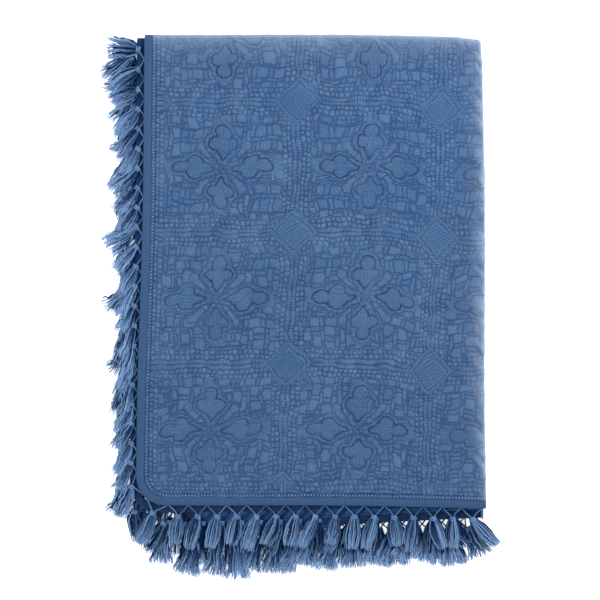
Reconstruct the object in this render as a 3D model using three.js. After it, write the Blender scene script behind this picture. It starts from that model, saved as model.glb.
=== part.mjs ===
// A quilted throw, folded in four and lying flat, with a knotted tassel fringe along its free edges.
// X runs across the folded quilt towards the side fold, Y up towards the top fold, Z up from the floor.
// The origin is the middle of the underside. Lengths are in millimetres and angles in degrees.
import * as THREE from "three";

// The cloth and its folds
const CLOTH_THICKNESS = 4;
const LAYER_PITCH = 6;
const CORNER_RADIUS = 40;
const HEM_MARGIN = 9;
const FOLD_CORNER = new THREE.Vector2(318, 434);

// The four layers, from the top of the stack down. A layer is outer on the outside of the side fold,
// and upper above the top fold. Its corners are given to the cloth's own edge or to a fold's axis.
const LAYERS = [
  { outer: true, upper: true, hemLeft: [-321, -430], hemFold: [324, -437], topFold: [-303, 439] },
  { outer: false, upper: true, hemLeft: [-334, -446], hemFold: [324, -437], topFold: [-318, 439] },
  { outer: false, upper: false, hemLeft: [-250, -492], hemFold: [320, -456], topFold: [-318, 439] },
  { outer: true, upper: false, hemLeft: [-300, -474], hemFold: [320, -456], topFold: [-303, 439] },
];

// The fringe of each layer, in the same order: the plain stretches of its heading band from the side fold
// to the first tassel (lead) and from the last one to the top fold (tail), and how its left tassels swing out
// from straight down: at the corner (low), at the top fold as far as they lean steadily (mid), and with the
// last ones, which spread out beside the fold (high).
const FRINGES = [
  { lead: 2, tail: 1, low: 18, mid: 54, high: 126 },
  { lead: 3, tail: 14, low: 8, mid: 36, high: 60 },
  { lead: 9, tail: 8, low: 20, mid: 34, high: 70 },
  { lead: 29, tail: 20, low: 18, mid: 36, high: 60 },
];

// The quilted repeat: a four-petalled flower in each tile, bands between tiles, a diamond where four meet
const RELIEF = 2.2;
const GROUND_RELIEF = 0.25;
const BAND_RELIEF = 0.6;
const TILE = new THREE.Vector2(282, 250);
const FLOWER = new THREE.Vector2(-184, -54);
const COLUMN_DRIFT = 0.041;
const PETAL_START = 14;
const PETAL_WIDTH = 54;
const PETAL_FULLNESS = 1.3;
const PETAL_REACH = { across: 97, along: 82 };
const DIAMOND_REACH = 50;
const BAND_WIDTH = 54;
const BAND_END = 1.4;

// The fringe: a plain heading band beside the cloth's edge, legs in a zigzag to the knots, and tassels
const HEADING_GAP = 0.8;
const HEADING_WIDTH = 15;
const HEADING_THICKNESS = 2.8;
const TASSEL_PITCH = 37;
const LEG_WIDTH = 3;
const KNOT_DROP = { hem: 20, side: 10 };
const KNOT_CROWN = 4;
const RUN_GAP = 0.5;
const TASSEL_HALF_WIDTH = 13.5;
const TASSEL_SECTIONS = [
  { down: 0, widthShare: 0.24, thickness: 4.6 },
  { down: 42, widthShare: 1, thickness: 5 },
  { down: 66, widthShare: 0.74, thickness: 3 },
];
const TASSEL_CROWN = 0.65;
const LENGTH_SPREAD = 0.09;
const FOLD_SWING = -34;
const FOLD_SWING_REACH = 95;
const HEM_SWING = 8;
const SPREADING = 16;
const SWING_SPREAD = 3;
const SPREAD_PACE = { swing: 0.8, length: 2.3, layer: 1.7 };
const CROWDING = 0.4;

// How the quilt settles: loose at the folds, sinking towards the tassels' tips, not quite straight
const FOLD_PUFF = 0.1;
const FOLD_PUFF_REACH = 45;
const FRINGE_SINK = 0.36;
const FRINGE_REACH = 110;
const SWAY = 0.04;
const SWAY_LENGTH = new THREE.Vector2(140, 170);
const WANDER = 1.5;
const WANDER_LENGTH = 110;
const WANDER_START = new THREE.Vector2(0.6, 1.1);
const CORNER_TUCK = new THREE.Vector2(3, 6);
const CORNER_TUCK_REACH = 30;

// How finely each stretch is divided
const ARC_STEPS = 4;
const SIDE_FOLD_STEPS = 4;
const TOP_FOLD_STEPS = 6;
const LOOSE_MARGIN = 40;
const FACE_CELLS = { across: 6, along: 8 };
const HIDDEN_CELLS = { across: 4, along: 5 };
const FACE_CUTS = 6;
const MARGIN_CUTS = 3;
const TAIL_STEPS = 3;
const TAIL_SHARE = 0.94;

const { clamp, lerp, smoothstep, degToRad } = THREE.MathUtils;
const STACK_MIDDLE = 1.5 * LAYER_PITCH + CLOTH_THICKNESS / 2;
const REST_CORNER = new THREE.Vector2(...LAYERS[0].hemLeft);
const HALF_TURN = Math.PI;
const QUARTER_TURN = Math.PI / 2;

const bell = (distance, reach) => Math.exp(-((distance / reach) ** 2));

// A point of the flat stack, moved to where it lies once the quilt has settled on the floor.
function settle(x, y, z) {
  const outside = Math.hypot(Math.max(0, REST_CORNER.x - x), Math.max(0, REST_CORNER.y - y));
  const sink = FRINGE_SINK * smoothstep(outside, 0, FRINGE_REACH);
  const nearSide = bell(x - FOLD_CORNER.x, FOLD_PUFF_REACH);
  const nearTop = bell(y - FOLD_CORNER.y, FOLD_PUFF_REACH);
  const sway = SWAY * Math.sin(x / SWAY_LENGTH.x) * Math.cos(y / SWAY_LENGTH.y);
  const tucked = bell(FOLD_CORNER.distanceTo(new THREE.Vector2(x, y)), CORNER_TUCK_REACH);
  return new THREE.Vector3(
    x - CORNER_TUCK.x * tucked + WANDER * Math.sin(y / WANDER_LENGTH + WANDER_START.x),
    y - CORNER_TUCK.y * tucked + WANDER * Math.sin(x / WANDER_LENGTH + WANDER_START.y),
    z * (1 - sink + FOLD_PUFF * (nearSide + nearTop) + sway),
  );
}

// A point of a layer, at a height over the layer's lower face, carried round the side fold and the top fold
// by the two turns, each from 0 on the layer itself to half a turn on the layer across the fold.
function stackPoint(layer, plan, height, sideTurn = 0, topTurn = 0) {
  const middle = layer.outer ? 1.5 * LAYER_PITCH : 0.5 * LAYER_PITCH;
  const outwards = height - CLOTH_THICKNESS / 2;
  const offFold = middle + (layer.upper ? outwards : -outwards) - LAYER_PITCH;
  const level = LAYER_PITCH + offFold * Math.cos(sideTurn);
  const turned = layer.upper ? topTurn : HALF_TURN - topTurn;
  return settle(
    plan.x + Math.abs(offFold) * Math.sin(sideTurn),
    plan.y + level * Math.sin(topTurn),
    STACK_MIDDLE + level * Math.cos(turned),
  );
}

// The free edge of a layer: from the side fold along the hem, round the corner and up to the top fold.
function edgeOf({ hemLeft, hemFold, topFold }) {
  const [start, corner, end] = [hemFold, hemLeft, topFold].map((point) => new THREE.Vector2(...point));
  const hem = corner.clone().sub(start);
  const side = end.clone().sub(corner);
  const corneringAngle = Math.abs(hem.angleTo(side));
  const cut = CORNER_RADIUS * Math.tan(corneringAngle / 2);
  const hemLength = hem.length() - cut;
  const arcLength = CORNER_RADIUS * corneringAngle;
  const sideLength = side.length() - cut;
  const outwards = new THREE.Vector2(-hem.y, hem.x).normalize();
  const hemStep = hem.normalize();
  const sideStep = side.normalize();
  const origin = new THREE.Vector2();
  const arcStart = start.clone().addScaledVector(hemStep, hemLength);
  const arcCentre = arcStart.clone().addScaledVector(outwards, -CORNER_RADIUS);
  const sideStart = corner.clone().addScaledVector(sideStep, cut);

  // For a length along the edge: the outward direction there, and the place a distance out from the edge.
  function outwardsAt(along) {
    const turn = (along - hemLength) / CORNER_RADIUS;
    return outwards.clone().rotateAround(origin, -clamp(turn, 0, corneringAngle));
  }
  function at(along, out = 0) {
    const away = outwardsAt(along);
    if (along < hemLength) {
      return start.clone().addScaledVector(hemStep, Math.max(0, along)).addScaledVector(away, out);
    }
    if (along < hemLength + arcLength) {
      return arcCentre.clone().addScaledVector(away, CORNER_RADIUS + out);
    }
    const up = Math.min(along - hemLength - arcLength, sideLength);
    return sideStart.clone().addScaledVector(sideStep, up).addScaledVector(away, out);
  }
  return { hemLength, arcLength, sideLength, length: hemLength + arcLength + sideLength, at, outwardsAt };
}
LAYERS.forEach((layer, place) => {
  layer.number = place + 1;
  layer.edge = edgeOf(layer);
  layer.fringe = FRINGES[place];
});

// A closed solid between two faces over the same outline. Each face is a list of triangles of keyed points,
// anticlockwise from above, and place gives a point's position on the upper or the lower face.
function closedSlab(upperTriangles, lowerTriangles, place) {
  const positions = [];
  const index = [];
  const known = new Map();
  function vertex(point, isUpper) {
    const key = point.key + (isUpper ? " upper" : " lower");
    if (!known.has(key)) {
      known.set(key, known.size);
      positions.push(...place(point, isUpper).toArray());
    }
    return known.get(key);
  }
  const edges = new Map();
  for (const [p, q, r] of upperTriangles) {
    index.push(vertex(p, true), vertex(q, true), vertex(r, true));
    for (const [from, to] of [[p, q], [q, r], [r, p]]) {
      edges.set(from.key + " to " + to.key, [from, to]);
    }
  }
  for (const [p, q, r] of lowerTriangles) {
    index.push(vertex(p, false), vertex(r, false), vertex(q, false));
  }
  for (const [from, to] of edges.values()) {
    if (!edges.has(to.key + " to " + from.key)) {
      index.push(vertex(from, true), vertex(from, false), vertex(to, false));
      index.push(vertex(from, true), vertex(to, false), vertex(to, true));
    }
  }
  const geometry = new THREE.BufferGeometry();
  geometry.setAttribute("position", new THREE.Float32BufferAttribute(positions, 3));
  geometry.setIndex(index);
  return geometry;
}

// Height of one petal, from 0 at its outline to 1 along its middle.
function petalDome(along, across, reach) {
  const share = (along - PETAL_START) / (reach - PETAL_START);
  if (share <= 0 || share >= 1) {
    return 0;
  }
  const halfWidth = (PETAL_WIDTH / 2) * Math.sin(Math.PI * share ** PETAL_FULLNESS);
  return Math.sqrt(Math.max(0, 1 - (across / halfWidth) ** 2));
}

// Height of the quilted figures over the cloth, as a share of the relief.
function quilting({ x, y }) {
  const row = (y - FLOWER.y) / TILE.y;
  const column = (x - FLOWER.x - COLUMN_DRIFT * (y - FLOWER.y)) / TILE.x;
  const u = Math.abs(column - Math.round(column)) * TILE.x;
  const v = Math.abs(row - Math.round(row)) * TILE.y;
  const toDiamond = TILE.x / 2 - u + TILE.y / 2 - v;
  const toBand = Math.min(TILE.x / 2 - u, TILE.y / 2 - v) / (BAND_WIDTH / 2);
  const flower = Math.max(petalDome(u, v, PETAL_REACH.across), petalDome(v, u, PETAL_REACH.along));
  const diamond = Math.sqrt(Math.max(0, 1 - toDiamond / DIAMOND_REACH));
  const bandEnd = smoothstep(toDiamond, DIAMOND_REACH, DIAMOND_REACH * BAND_END);
  const band = BAND_RELIEF * bandEnd * Math.sqrt(Math.max(0, 1 - toBand ** 2));
  return Math.max(GROUND_RELIEF, flower, diamond, band);
}

// The sheet is laid out on two coordinates, each 0 to 3: across from the left edge of layer 1 to the side
// fold (1), round it (2) and back (3), and along from the hem of layer 1 in the same way round the top fold.
const FACE_WIDTH = FOLD_CORNER.x - REST_CORNER.x;
const FACE_LENGTH = FOLD_CORNER.y - REST_CORNER.y;
const CORNER_SHARE = CORNER_RADIUS / FACE_LENGTH;
const MARGIN_SHARE = HEM_MARGIN / FACE_WIDTH;

const onLayer = (coordinate) => (coordinate < 1.5 ? Math.min(1, coordinate) : Math.min(1, 3 - coordinate));
const foldTurn = (coordinate) => HALF_TURN * clamp(coordinate - 1, 0, 1);

function sheetPlan({ across, along }) {
  const lower = along > 1.5;
  const inner = across > 1.5;
  const layer = LAYERS[lower ? (inner ? 2 : 3) : (inner ? 1 : 0)];
  const { edge, hemFold } = layer;
  const up = onLayer(along);
  const onArc = Math.min(1, up / CORNER_SHARE);
  const onSide = Math.max(0, (up - CORNER_SHARE) / (1 - CORNER_SHARE));
  const left = edge.at(edge.hemLength + edge.arcLength * onArc + edge.sideLength * onSide);
  const right = new THREE.Vector2(...hemFold).lerp(FOLD_CORNER, up);
  return left.lerp(right, onLayer(across));
}

// Stations along one coordinate, each with the number of cuts that the quilted face has up to the next one.
function stations(edgeStations, faceStart, loose, faceCells, foldSteps, hiddenCells) {
  const list = [...edgeStations];
  for (let cell = 0; cell < faceCells; cell += 1) {
    list.push({ at: lerp(faceStart, 1 - loose, cell / faceCells), cuts: FACE_CUTS });
  }
  list.push({ at: 1 - loose, cuts: MARGIN_CUTS });
  for (let step = 0; step < foldSteps; step += 1) {
    list.push({ at: 1 + step / foldSteps, cuts: 1 });
  }
  list.push({ at: 2, cuts: 1 });
  for (let cell = 0; cell < hiddenCells; cell += 1) {
    list.push({ at: lerp(2 + loose, 3 - faceStart, cell / hiddenCells), cuts: 1 });
  }
  list.push({ at: 3 - faceStart, cuts: 1 });
  for (const { at } of [...edgeStations].reverse()) {
    list.push({ at: 3 - at, cuts: 1 });
  }
  return list;
}
const ACROSS = stations(
  [{ at: 0, cuts: 1 }],
  MARGIN_SHARE,
  LOOSE_MARGIN / FACE_WIDTH,
  FACE_CELLS.across,
  SIDE_FOLD_STEPS,
  HIDDEN_CELLS.across,
);
const CORNER_STATIONS = Array.from({ length: ARC_STEPS }, (_, step) => {
  return { at: (CORNER_SHARE * step) / ARC_STEPS, cuts: 1 };
});
const ALONG = stations(
  CORNER_STATIONS,
  CORNER_SHARE,
  LOOSE_MARGIN / FACE_LENGTH,
  FACE_CELLS.along,
  TOP_FOLD_STEPS,
  HIDDEN_CELLS.along,
);

const sheetPoint = (across, along) => ({ across, along, key: across.toFixed(5) + "," + along.toFixed(5) });
const cutAt = (list, i, cut) => lerp(list[i].at, list[i + 1].at, cut / list[i].cuts);
const onFace = (i, j) => i >= 1 && j >= 1 && ACROSS[i].at < 1 && ALONG[j].at < 1;

// Triangles of the sheet. The quilted face is cut finely, and a cell beside it fans out to the cuts it meets.
function sheetTriangles(quilted) {
  const triangles = [];
  const isFine = (i, j) => quilted && onFace(i, j);
  const pushQuad = (p, q, r, s) => triangles.push([p, q, r], [p, r, s]);
  function fineCell(i, j) {
    const corner = (cutI, cutJ) => sheetPoint(cutAt(ACROSS, i, cutI), cutAt(ALONG, j, cutJ));
    for (let cutI = 0; cutI < ACROSS[i].cuts; cutI += 1) {
      for (let cutJ = 0; cutJ < ALONG[j].cuts; cutJ += 1) {
        pushQuad(
          corner(cutI, cutJ),
          corner(cutI + 1, cutJ),
          corner(cutI + 1, cutJ + 1),
          corner(cutI, cutJ + 1),
        );
      }
    }
  }
  function coarseCell(i, j) {
    const acrossSide = (row, fine) => {
      const cuts = fine ? ACROSS[i].cuts : 1;
      return Array.from({ length: cuts }, (_, cut) => {
        return sheetPoint(lerp(ACROSS[i].at, ACROSS[i + 1].at, cut / cuts), ALONG[row].at);
      });
    };
    const alongSide = (column, fine) => {
      const cuts = fine ? ALONG[j].cuts : 1;
      return Array.from({ length: cuts }, (_, cut) => {
        return sheetPoint(ACROSS[column].at, lerp(ALONG[j].at, ALONG[j + 1].at, cut / cuts));
      });
    };
    const farCorner = sheetPoint(ACROSS[i + 1].at, ALONG[j + 1].at);
    const leftTop = sheetPoint(ACROSS[i].at, ALONG[j + 1].at);
    const bottom = acrossSide(j, isFine(i, j - 1));
    const right = alongSide(i + 1, isFine(i + 1, j));
    const top = [...acrossSide(j + 1, isFine(i, j + 1)).slice(1), farCorner].reverse();
    const left = [...alongSide(i, isFine(i - 1, j)).slice(1), leftTop].reverse();
    const outline = [...bottom, ...right, ...top, ...left];
    if (outline.length === 4) {
      pushQuad(...outline);
      return;
    }
    const centre = sheetPoint((ACROSS[i].at + ACROSS[i + 1].at) / 2, (ALONG[j].at + ALONG[j + 1].at) / 2);
    outline.forEach((point, k) => triangles.push([centre, point, outline[(k + 1) % outline.length]]));
  }
  for (let i = 0; i < ACROSS.length - 1; i += 1) {
    for (let j = 0; j < ALONG.length - 1; j += 1) {
      (isFine(i, j) ? fineCell : coarseCell)(i, j);
    }
  }
  return triangles;
}

function quiltGeometry() {
  const faceStart = { across: ACROSS[1].at, along: ALONG[1].at };
  function place(point, isShowSide) {
    const { across, along } = point;
    const plan = sheetPlan(point);
    const quilted = across >= faceStart.across && across <= 1 && along >= faceStart.along && along <= 1;
    const raised = quilted ? RELIEF * quilting(plan) : 0;
    const height = isShowSide ? CLOTH_THICKNESS + raised : 0;
    return stackPoint(LAYERS[0], plan, height, foldTurn(across), foldTurn(along));
  }
  return closedSlab(sheetTriangles(true), sheetTriangles(false), place);
}

// A steady wave for each layer, so that neighbouring tassels differ a little.
const wave = (layer, count, pace) => Math.sin(count * pace + layer.number * SPREAD_PACE.layer);

// How far round the corner a place on an edge is, from 0 on the hem to 1 on the left side.
const roundCorner = ({ hemLength, arcLength }, along) => clamp((along - hemLength) / arcLength, 0, 1);

// The direction in which a tassel lies, as an angle from straight down towards the left.
function tasselSwing(layer, along, count) {
  const { hemLength, arcLength, sideLength } = layer.edge;
  const onSide = Math.max(0, (along - hemLength - arcLength) / sideLength);
  const onHem = lerp(FOLD_SWING, HEM_SWING, smoothstep(along, 0, FOLD_SWING_REACH));
  const { low, mid, high } = layer.fringe;
  const raised = (mid - low) * onSide + (high - mid) * onSide ** SPREADING;
  const spread = SWING_SPREAD * wave(layer, count, SPREAD_PACE.swing);
  return degToRad(lerp(onHem, low, roundCorner(layer.edge, along)) + raised + spread);
}

// One stretch of the fringe: its length of the heading band, with two legs, their knot and the tassel.
function tasselTriangles(layer, from, to, count) {
  const { edge } = layer;
  const arcEnds = [edge.hemLength, edge.hemLength + edge.arcLength];
  const between = Array.from({ length: ARC_STEPS + 1 }, (_, step) => lerp(...arcEnds, step / ARC_STEPS));
  const bends = between.filter((along) => along > from + LEG_WIDTH && along < to - LEG_WIDTH);
  const edgePoint = (along, out) => {
    const plan = edge.at(along, out);
    return { plan, crown: plan, thickness: HEADING_THICKNESS, key: along.toFixed(3) + "," + out.toFixed(3) };
  };
  const middle = (from + to) / 2;
  const rim = HEADING_GAP + HEADING_WIDTH;
  const inner = [from, ...bends, to].map((along) => edgePoint(along, HEADING_GAP));
  const openingBase = [from + LEG_WIDTH, ...bends, to - LEG_WIDTH].map((along) => edgePoint(along, rim));
  const knotOut = rim + lerp(KNOT_DROP.hem, KNOT_DROP.side, roundCorner(edge, middle));
  const opening = [...openingBase, edgePoint(middle, knotOut - KNOT_CROWN)];

  const knot = edge.at(middle, knotOut);
  const swing = tasselSwing(layer, middle, count);
  const axis = new THREE.Vector2(-Math.sin(swing), -Math.cos(swing));
  const onward = new THREE.Vector2(axis.y, -axis.x);
  const room = TASSEL_PITCH * Math.abs(edge.outwardsAt(middle).dot(axis));
  const stretch = 1 + LENGTH_SPREAD * wave(layer, count, SPREAD_PACE.length);
  const halfWidth = Math.min(TASSEL_HALF_WIDTH, CROWDING * room);
  const sidePoint = (side) => ({ down, widthShare, thickness }, row) => {
    const width = side * widthShare * halfWidth;
    const centre = knot.clone().addScaledVector(axis, down * stretch);
    const plan = centre.clone().addScaledVector(onward, width);
    const crown = centre.addScaledVector(onward, width * TASSEL_CROWN);
    return { plan, crown, thickness, key: "tassel " + count + "," + side + "," + row };
  };
  const outline = [
    ...inner,
    edgePoint(to, rim + LEG_WIDTH),
    ...TASSEL_SECTIONS.map(sidePoint(1)),
    ...TASSEL_SECTIONS.map(sidePoint(-1)).reverse(),
    edgePoint(from, rim + LEG_WIDTH),
  ];
  const points = [...outline, ...opening];
  const faces = THREE.ShapeUtils.triangulateShape(
    outline.map(({ plan }) => plan),
    [opening.map(({ plan }) => plan)],
  );
  return faces.map((face) => face.map((corner) => points[corner]));
}

// The plain end of a heading band, from its last tassel to a fold and round it, short of the fold's crest.
function tailTriangles(layer, joint, atTopFold) {
  const triangles = [];
  const foldAt = atTopFold ? layer.edge.length : 0;
  const sides = [HEADING_GAP, HEADING_GAP + HEADING_WIDTH + LEG_WIDTH];
  const tailPoint = (step, out) => {
    const along = step === 0 ? joint : foldAt;
    const turn = (TAIL_SHARE * QUARTER_TURN * Math.max(0, step - 1)) / TAIL_STEPS;
    const plan = layer.edge.at(along, out);
    const place = along.toFixed(3) + "," + out.toFixed(3);
    const key = step === 0 ? place : "tail " + step + "," + place;
    const turns = atTopFold ? { topTurn: turn } : { sideTurn: turn };
    return { plan, crown: plan, thickness: HEADING_THICKNESS, key, ...turns };
  };
  for (let step = 0; step <= TAIL_STEPS; step += 1) {
    const [first, second] = atTopFold ? [step, step + 1] : [step + 1, step];
    const [a, b] = sides.map((out) => tailPoint(first, out));
    const [d, c] = sides.map((out) => tailPoint(second, out));
    triangles.push([a, d, c], [a, c, b]);
  }
  return triangles;
}

// The fringe of a layer in two runs, parted at the corner: one along the hem and one up the left edge.
function fringeRuns(layer) {
  const { edge } = layer;
  const { lead, tail } = layer.fringe;
  const cells = Math.round((edge.length - lead - tail) / TASSEL_PITCH);
  const pitch = (edge.length - lead - tail) / cells;
  const cornerCell = Math.round((edge.hemLength + edge.arcLength / 2 - lead) / pitch);
  const cellStart = (count) => lead + count * pitch;
  const hem = tailTriangles(layer, lead, false);
  const left = tailTriangles(layer, cellStart(cells), true);
  for (let count = 0; count < cells; count += 1) {
    const from = cellStart(count) + (count === cornerCell ? RUN_GAP : 0);
    const run = count < cornerCell ? hem : left;
    run.push(...tasselTriangles(layer, from, cellStart(count + 1), count));
  }
  const place = ({ plan, crown, thickness, sideTurn, topTurn }, isUpper) => {
    return stackPoint(layer, isUpper ? crown : plan, isUpper ? thickness : 0, sideTurn, topTurn);
  };
  return { hem: closedSlab(hem, hem, place), left: closedSlab(left, left, place) };
}

const quiltedCloth = new THREE.MeshStandardMaterial({ color: 0x46658f, roughness: 0.9, metalness: 0 });
const fringeYarn = new THREE.MeshStandardMaterial({ color: 0x5a7aa8, roughness: 0.95, metalness: 0 });

function namedMesh(name, geometry, material) {
  const mesh = new THREE.Mesh(geometry, material.clone());
  mesh.name = name;
  return mesh;
}

const foldedQuilt = new THREE.Group();
foldedQuilt.add(namedMesh("quilt", quiltGeometry(), quiltedCloth));
for (const layer of LAYERS) {
  const { hem, left } = fringeRuns(layer);
  foldedQuilt.add(namedMesh("fringe_hem_" + layer.number, hem, fringeYarn));
  foldedQuilt.add(namedMesh("fringe_left_" + layer.number, left, fringeYarn));
}

export default foldedQuilt;
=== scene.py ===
# %% [markdown]
# # A folded, tasselled quilt
# This lesson dresses the plain solids of a folded quilt as the washed blue cotton throw that they stand for.
# The real one is a quilted sheet of about 1.3 by 1.8 m, edged with a ribbed heading tape that carries
# tassels, and folded twice: once across its width and once along its length. It lies on the floor.
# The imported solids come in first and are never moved. Every new piece is built in their place.

# %% Load the solids
import math

import bpy
import numpy as np
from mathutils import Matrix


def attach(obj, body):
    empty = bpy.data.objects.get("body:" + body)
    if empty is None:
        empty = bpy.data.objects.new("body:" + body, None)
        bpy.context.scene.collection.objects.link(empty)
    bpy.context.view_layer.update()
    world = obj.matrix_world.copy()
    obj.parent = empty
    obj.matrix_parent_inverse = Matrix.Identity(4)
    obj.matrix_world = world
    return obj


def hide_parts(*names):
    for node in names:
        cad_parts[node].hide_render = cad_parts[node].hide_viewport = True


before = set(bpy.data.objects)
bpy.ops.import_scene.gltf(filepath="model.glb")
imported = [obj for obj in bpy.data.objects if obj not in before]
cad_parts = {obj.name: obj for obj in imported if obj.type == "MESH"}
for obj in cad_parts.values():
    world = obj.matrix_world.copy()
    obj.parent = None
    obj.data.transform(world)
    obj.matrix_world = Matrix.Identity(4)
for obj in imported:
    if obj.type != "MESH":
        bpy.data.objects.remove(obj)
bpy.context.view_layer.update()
print("solids:", sorted(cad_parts))

# %% [markdown]
# ## Where the cloth lies
# A quilt that is folded in four has a simple rule: each point of the flat sheet belongs to one of four
# layers or to a fold between them. One could simulate the folding, but a simulated stack slides, and then
# the fringe no longer meets the edge. Here the same rule that made the solids places every thread, so
# cloth, tape and tassels stay together. Lengths are in millimetres until a mesh is made.

# %% Sizes of the stack
MM = 0.001
THICKNESS = 4.0
PITCH = 6.0
CORNER_RADIUS = 40.0
FOLD = np.array([318.0, 434.0])
LAYERS = [
    dict(outer=True, upper=True, corner=(-321, -430), hem_fold=(324, -437), top_fold=(-303, 439)),
    dict(outer=False, upper=True, corner=(-334, -446), hem_fold=(324, -437), top_fold=(-318, 439)),
    dict(outer=False, upper=False, corner=(-250, -492), hem_fold=(320, -456), top_fold=(-318, 439)),
    dict(outer=True, upper=False, corner=(-300, -474), hem_fold=(320, -456), top_fold=(-303, 439)),
]
SETTLING = dict(puff=0.1, puff_reach=45, sink=0.36, sink_reach=110, sway=0.04, wander=1.5, tuck_reach=30)
TUCK = (3.0, 6.0)
SWAY_LENGTH = (140.0, 170.0)
WANDER_LENGTH = 110.0
WANDER_START = (0.6, 1.1)
FLOOR_GAP = 0.1
STACK_MIDDLE = 1.5 * PITCH + THICKNESS / 2
print("stack before it settles:", 3 * PITCH + THICKNESS, "mm high")


def smooth(value, low, high):
    """0 below low, 1 above high, and a soft step between them."""
    share = np.clip((value - low) / (high - low), 0, 1)
    return share * share * (3 - 2 * share)


def bell(distance, reach):
    return np.exp(-((distance / reach) ** 2))


# %% Settle the stack on the floor
def settle(x, y, z):
    """Points of the flat stack, moved to where they lie once the quilt has settled."""
    s = SETTLING
    rest = LAYERS[0]["corner"]
    outside = np.hypot(np.maximum(0, rest[0] - x), np.maximum(0, rest[1] - y))
    sink = s["sink"] * smooth(outside, 0, s["sink_reach"])
    puff = s["puff"] * (bell(x - FOLD[0], s["puff_reach"]) + bell(y - FOLD[1], s["puff_reach"]))
    sway = s["sway"] * np.sin(x / SWAY_LENGTH[0]) * np.cos(y / SWAY_LENGTH[1])
    tucked = bell(np.hypot(x - FOLD[0], y - FOLD[1]), s["tuck_reach"])
    return np.stack([
        x - TUCK[0] * tucked + s["wander"] * np.sin(y / WANDER_LENGTH + WANDER_START[0]),
        y - TUCK[1] * tucked + s["wander"] * np.sin(x / WANDER_LENGTH + WANDER_START[1]),
        z * (1 - sink + puff + sway),
    ], axis=-1)


def stack_point(layer, x, y, height, side_turn=0.0, top_turn=0.0):
    """Points of a layer at a height over its lower face, carried round the two folds by their turns."""
    middle = PITCH * (1.5 if layer["outer"] else 0.5)
    outwards = (height - THICKNESS / 2) * (1 if layer["upper"] else -1)
    off_fold = middle + outwards - PITCH
    level = PITCH + off_fold * np.cos(side_turn)
    turned = top_turn if layer["upper"] else math.pi - top_turn
    return settle(
        x + np.abs(off_fold) * np.sin(side_turn),
        y + level * np.sin(top_turn),
        STACK_MIDDLE + level * np.cos(turned),
    )


def on_floor(points, radius):
    """Points in mm of a thread of this radius, raised where it would go into the floor."""
    low = np.broadcast_to(radius, points.shape[:-1]) + FLOOR_GAP
    return np.concatenate([points[..., :2], np.maximum(points[..., 2], low)[..., None]], axis=-1)


# %% The free edge of a layer
class FreeEdge:
    """The edge of one layer: from the side fold along the hem, round the corner and up to the top fold."""

    def __init__(self, layer):
        start, corner, end = (np.array(layer[k], float) for k in ("hem_fold", "corner", "top_fold"))
        hem, side = corner - start, end - corner
        self.hem_step, self.side_step = hem / np.hypot(*hem), side / np.hypot(*side)
        self.turn = math.acos(self.hem_step @ self.side_step)
        cut = CORNER_RADIUS * math.tan(self.turn / 2)
        self.hem = np.hypot(*hem) - cut
        self.arc = CORNER_RADIUS * self.turn
        self.side = np.hypot(*side) - cut
        self.length = self.hem + self.arc + self.side
        self.out = np.array([-self.hem_step[1], self.hem_step[0]])
        self.start, self.side_start = start, corner + self.side_step * cut
        self.centre = start + self.hem_step * self.hem - self.out * CORNER_RADIUS

    def outwards(self, along):
        turn = -np.clip((np.asarray(along, float) - self.hem) / CORNER_RADIUS, 0, self.turn)
        x, y = self.out
        return np.stack([x * np.cos(turn) - y * np.sin(turn), x * np.sin(turn) + y * np.cos(turn)], axis=-1)

    def at(self, along, out=0.0):
        along = np.asarray(along, float)
        away = self.outwards(along)
        out = np.broadcast_to(out, along.shape)[..., None]
        on_hem = self.start + self.hem_step * np.maximum(0, along)[..., None] + away * out
        on_arc = self.centre + away * (CORNER_RADIUS + out)
        up = np.clip(along - self.hem - self.arc, 0, self.side)[..., None]
        on_side = self.side_start + self.side_step * up + away * out
        onward = along[..., None]
        return np.where(onward < self.hem, on_hem, np.where(onward < self.hem + self.arc, on_arc, on_side))

    def inside(self, x, y):
        """How far points of the layer lie inside the edge."""
        out_side = self.outwards(self.length)
        to_hem = -((x - self.start[0]) * self.out[0] + (y - self.start[1]) * self.out[1])
        to_side = -((x - self.side_start[0]) * out_side[0] + (y - self.side_start[1]) * out_side[1])
        to_arc = CORNER_RADIUS - np.hypot(x - self.centre[0], y - self.centre[1])
        cornered = (to_hem < CORNER_RADIUS) & (to_side < CORNER_RADIUS)
        return np.where(cornered, to_arc, np.minimum(to_hem, to_side))


for number, layer in enumerate(LAYERS, 1):
    layer.update(number=number, look="seen" if number == 1 else "hidden", edge=FreeEdge(layer))
    print(f"layer {number}: free edge {layer['edge'].length:.0f} mm")

# %% [markdown]
# ## Node trees as Python
# Shaders and Geometry Nodes are both trees of nodes. Wiring them by hand makes long scripts, so one small
# class holds an output socket: arithmetic and NumPy's functions on it add Math nodes, and one method adds any
# other node. A rule that is written once then serves both arrays of points and shaders.


# %% A socket that does arithmetic
def operator(operation, swapped=False):
    """A method of a wire that adds a Math node for it and another value."""
    return lambda wire, other: wire.math(operation, *((other, wire) if swapped else (wire, other)))


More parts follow.
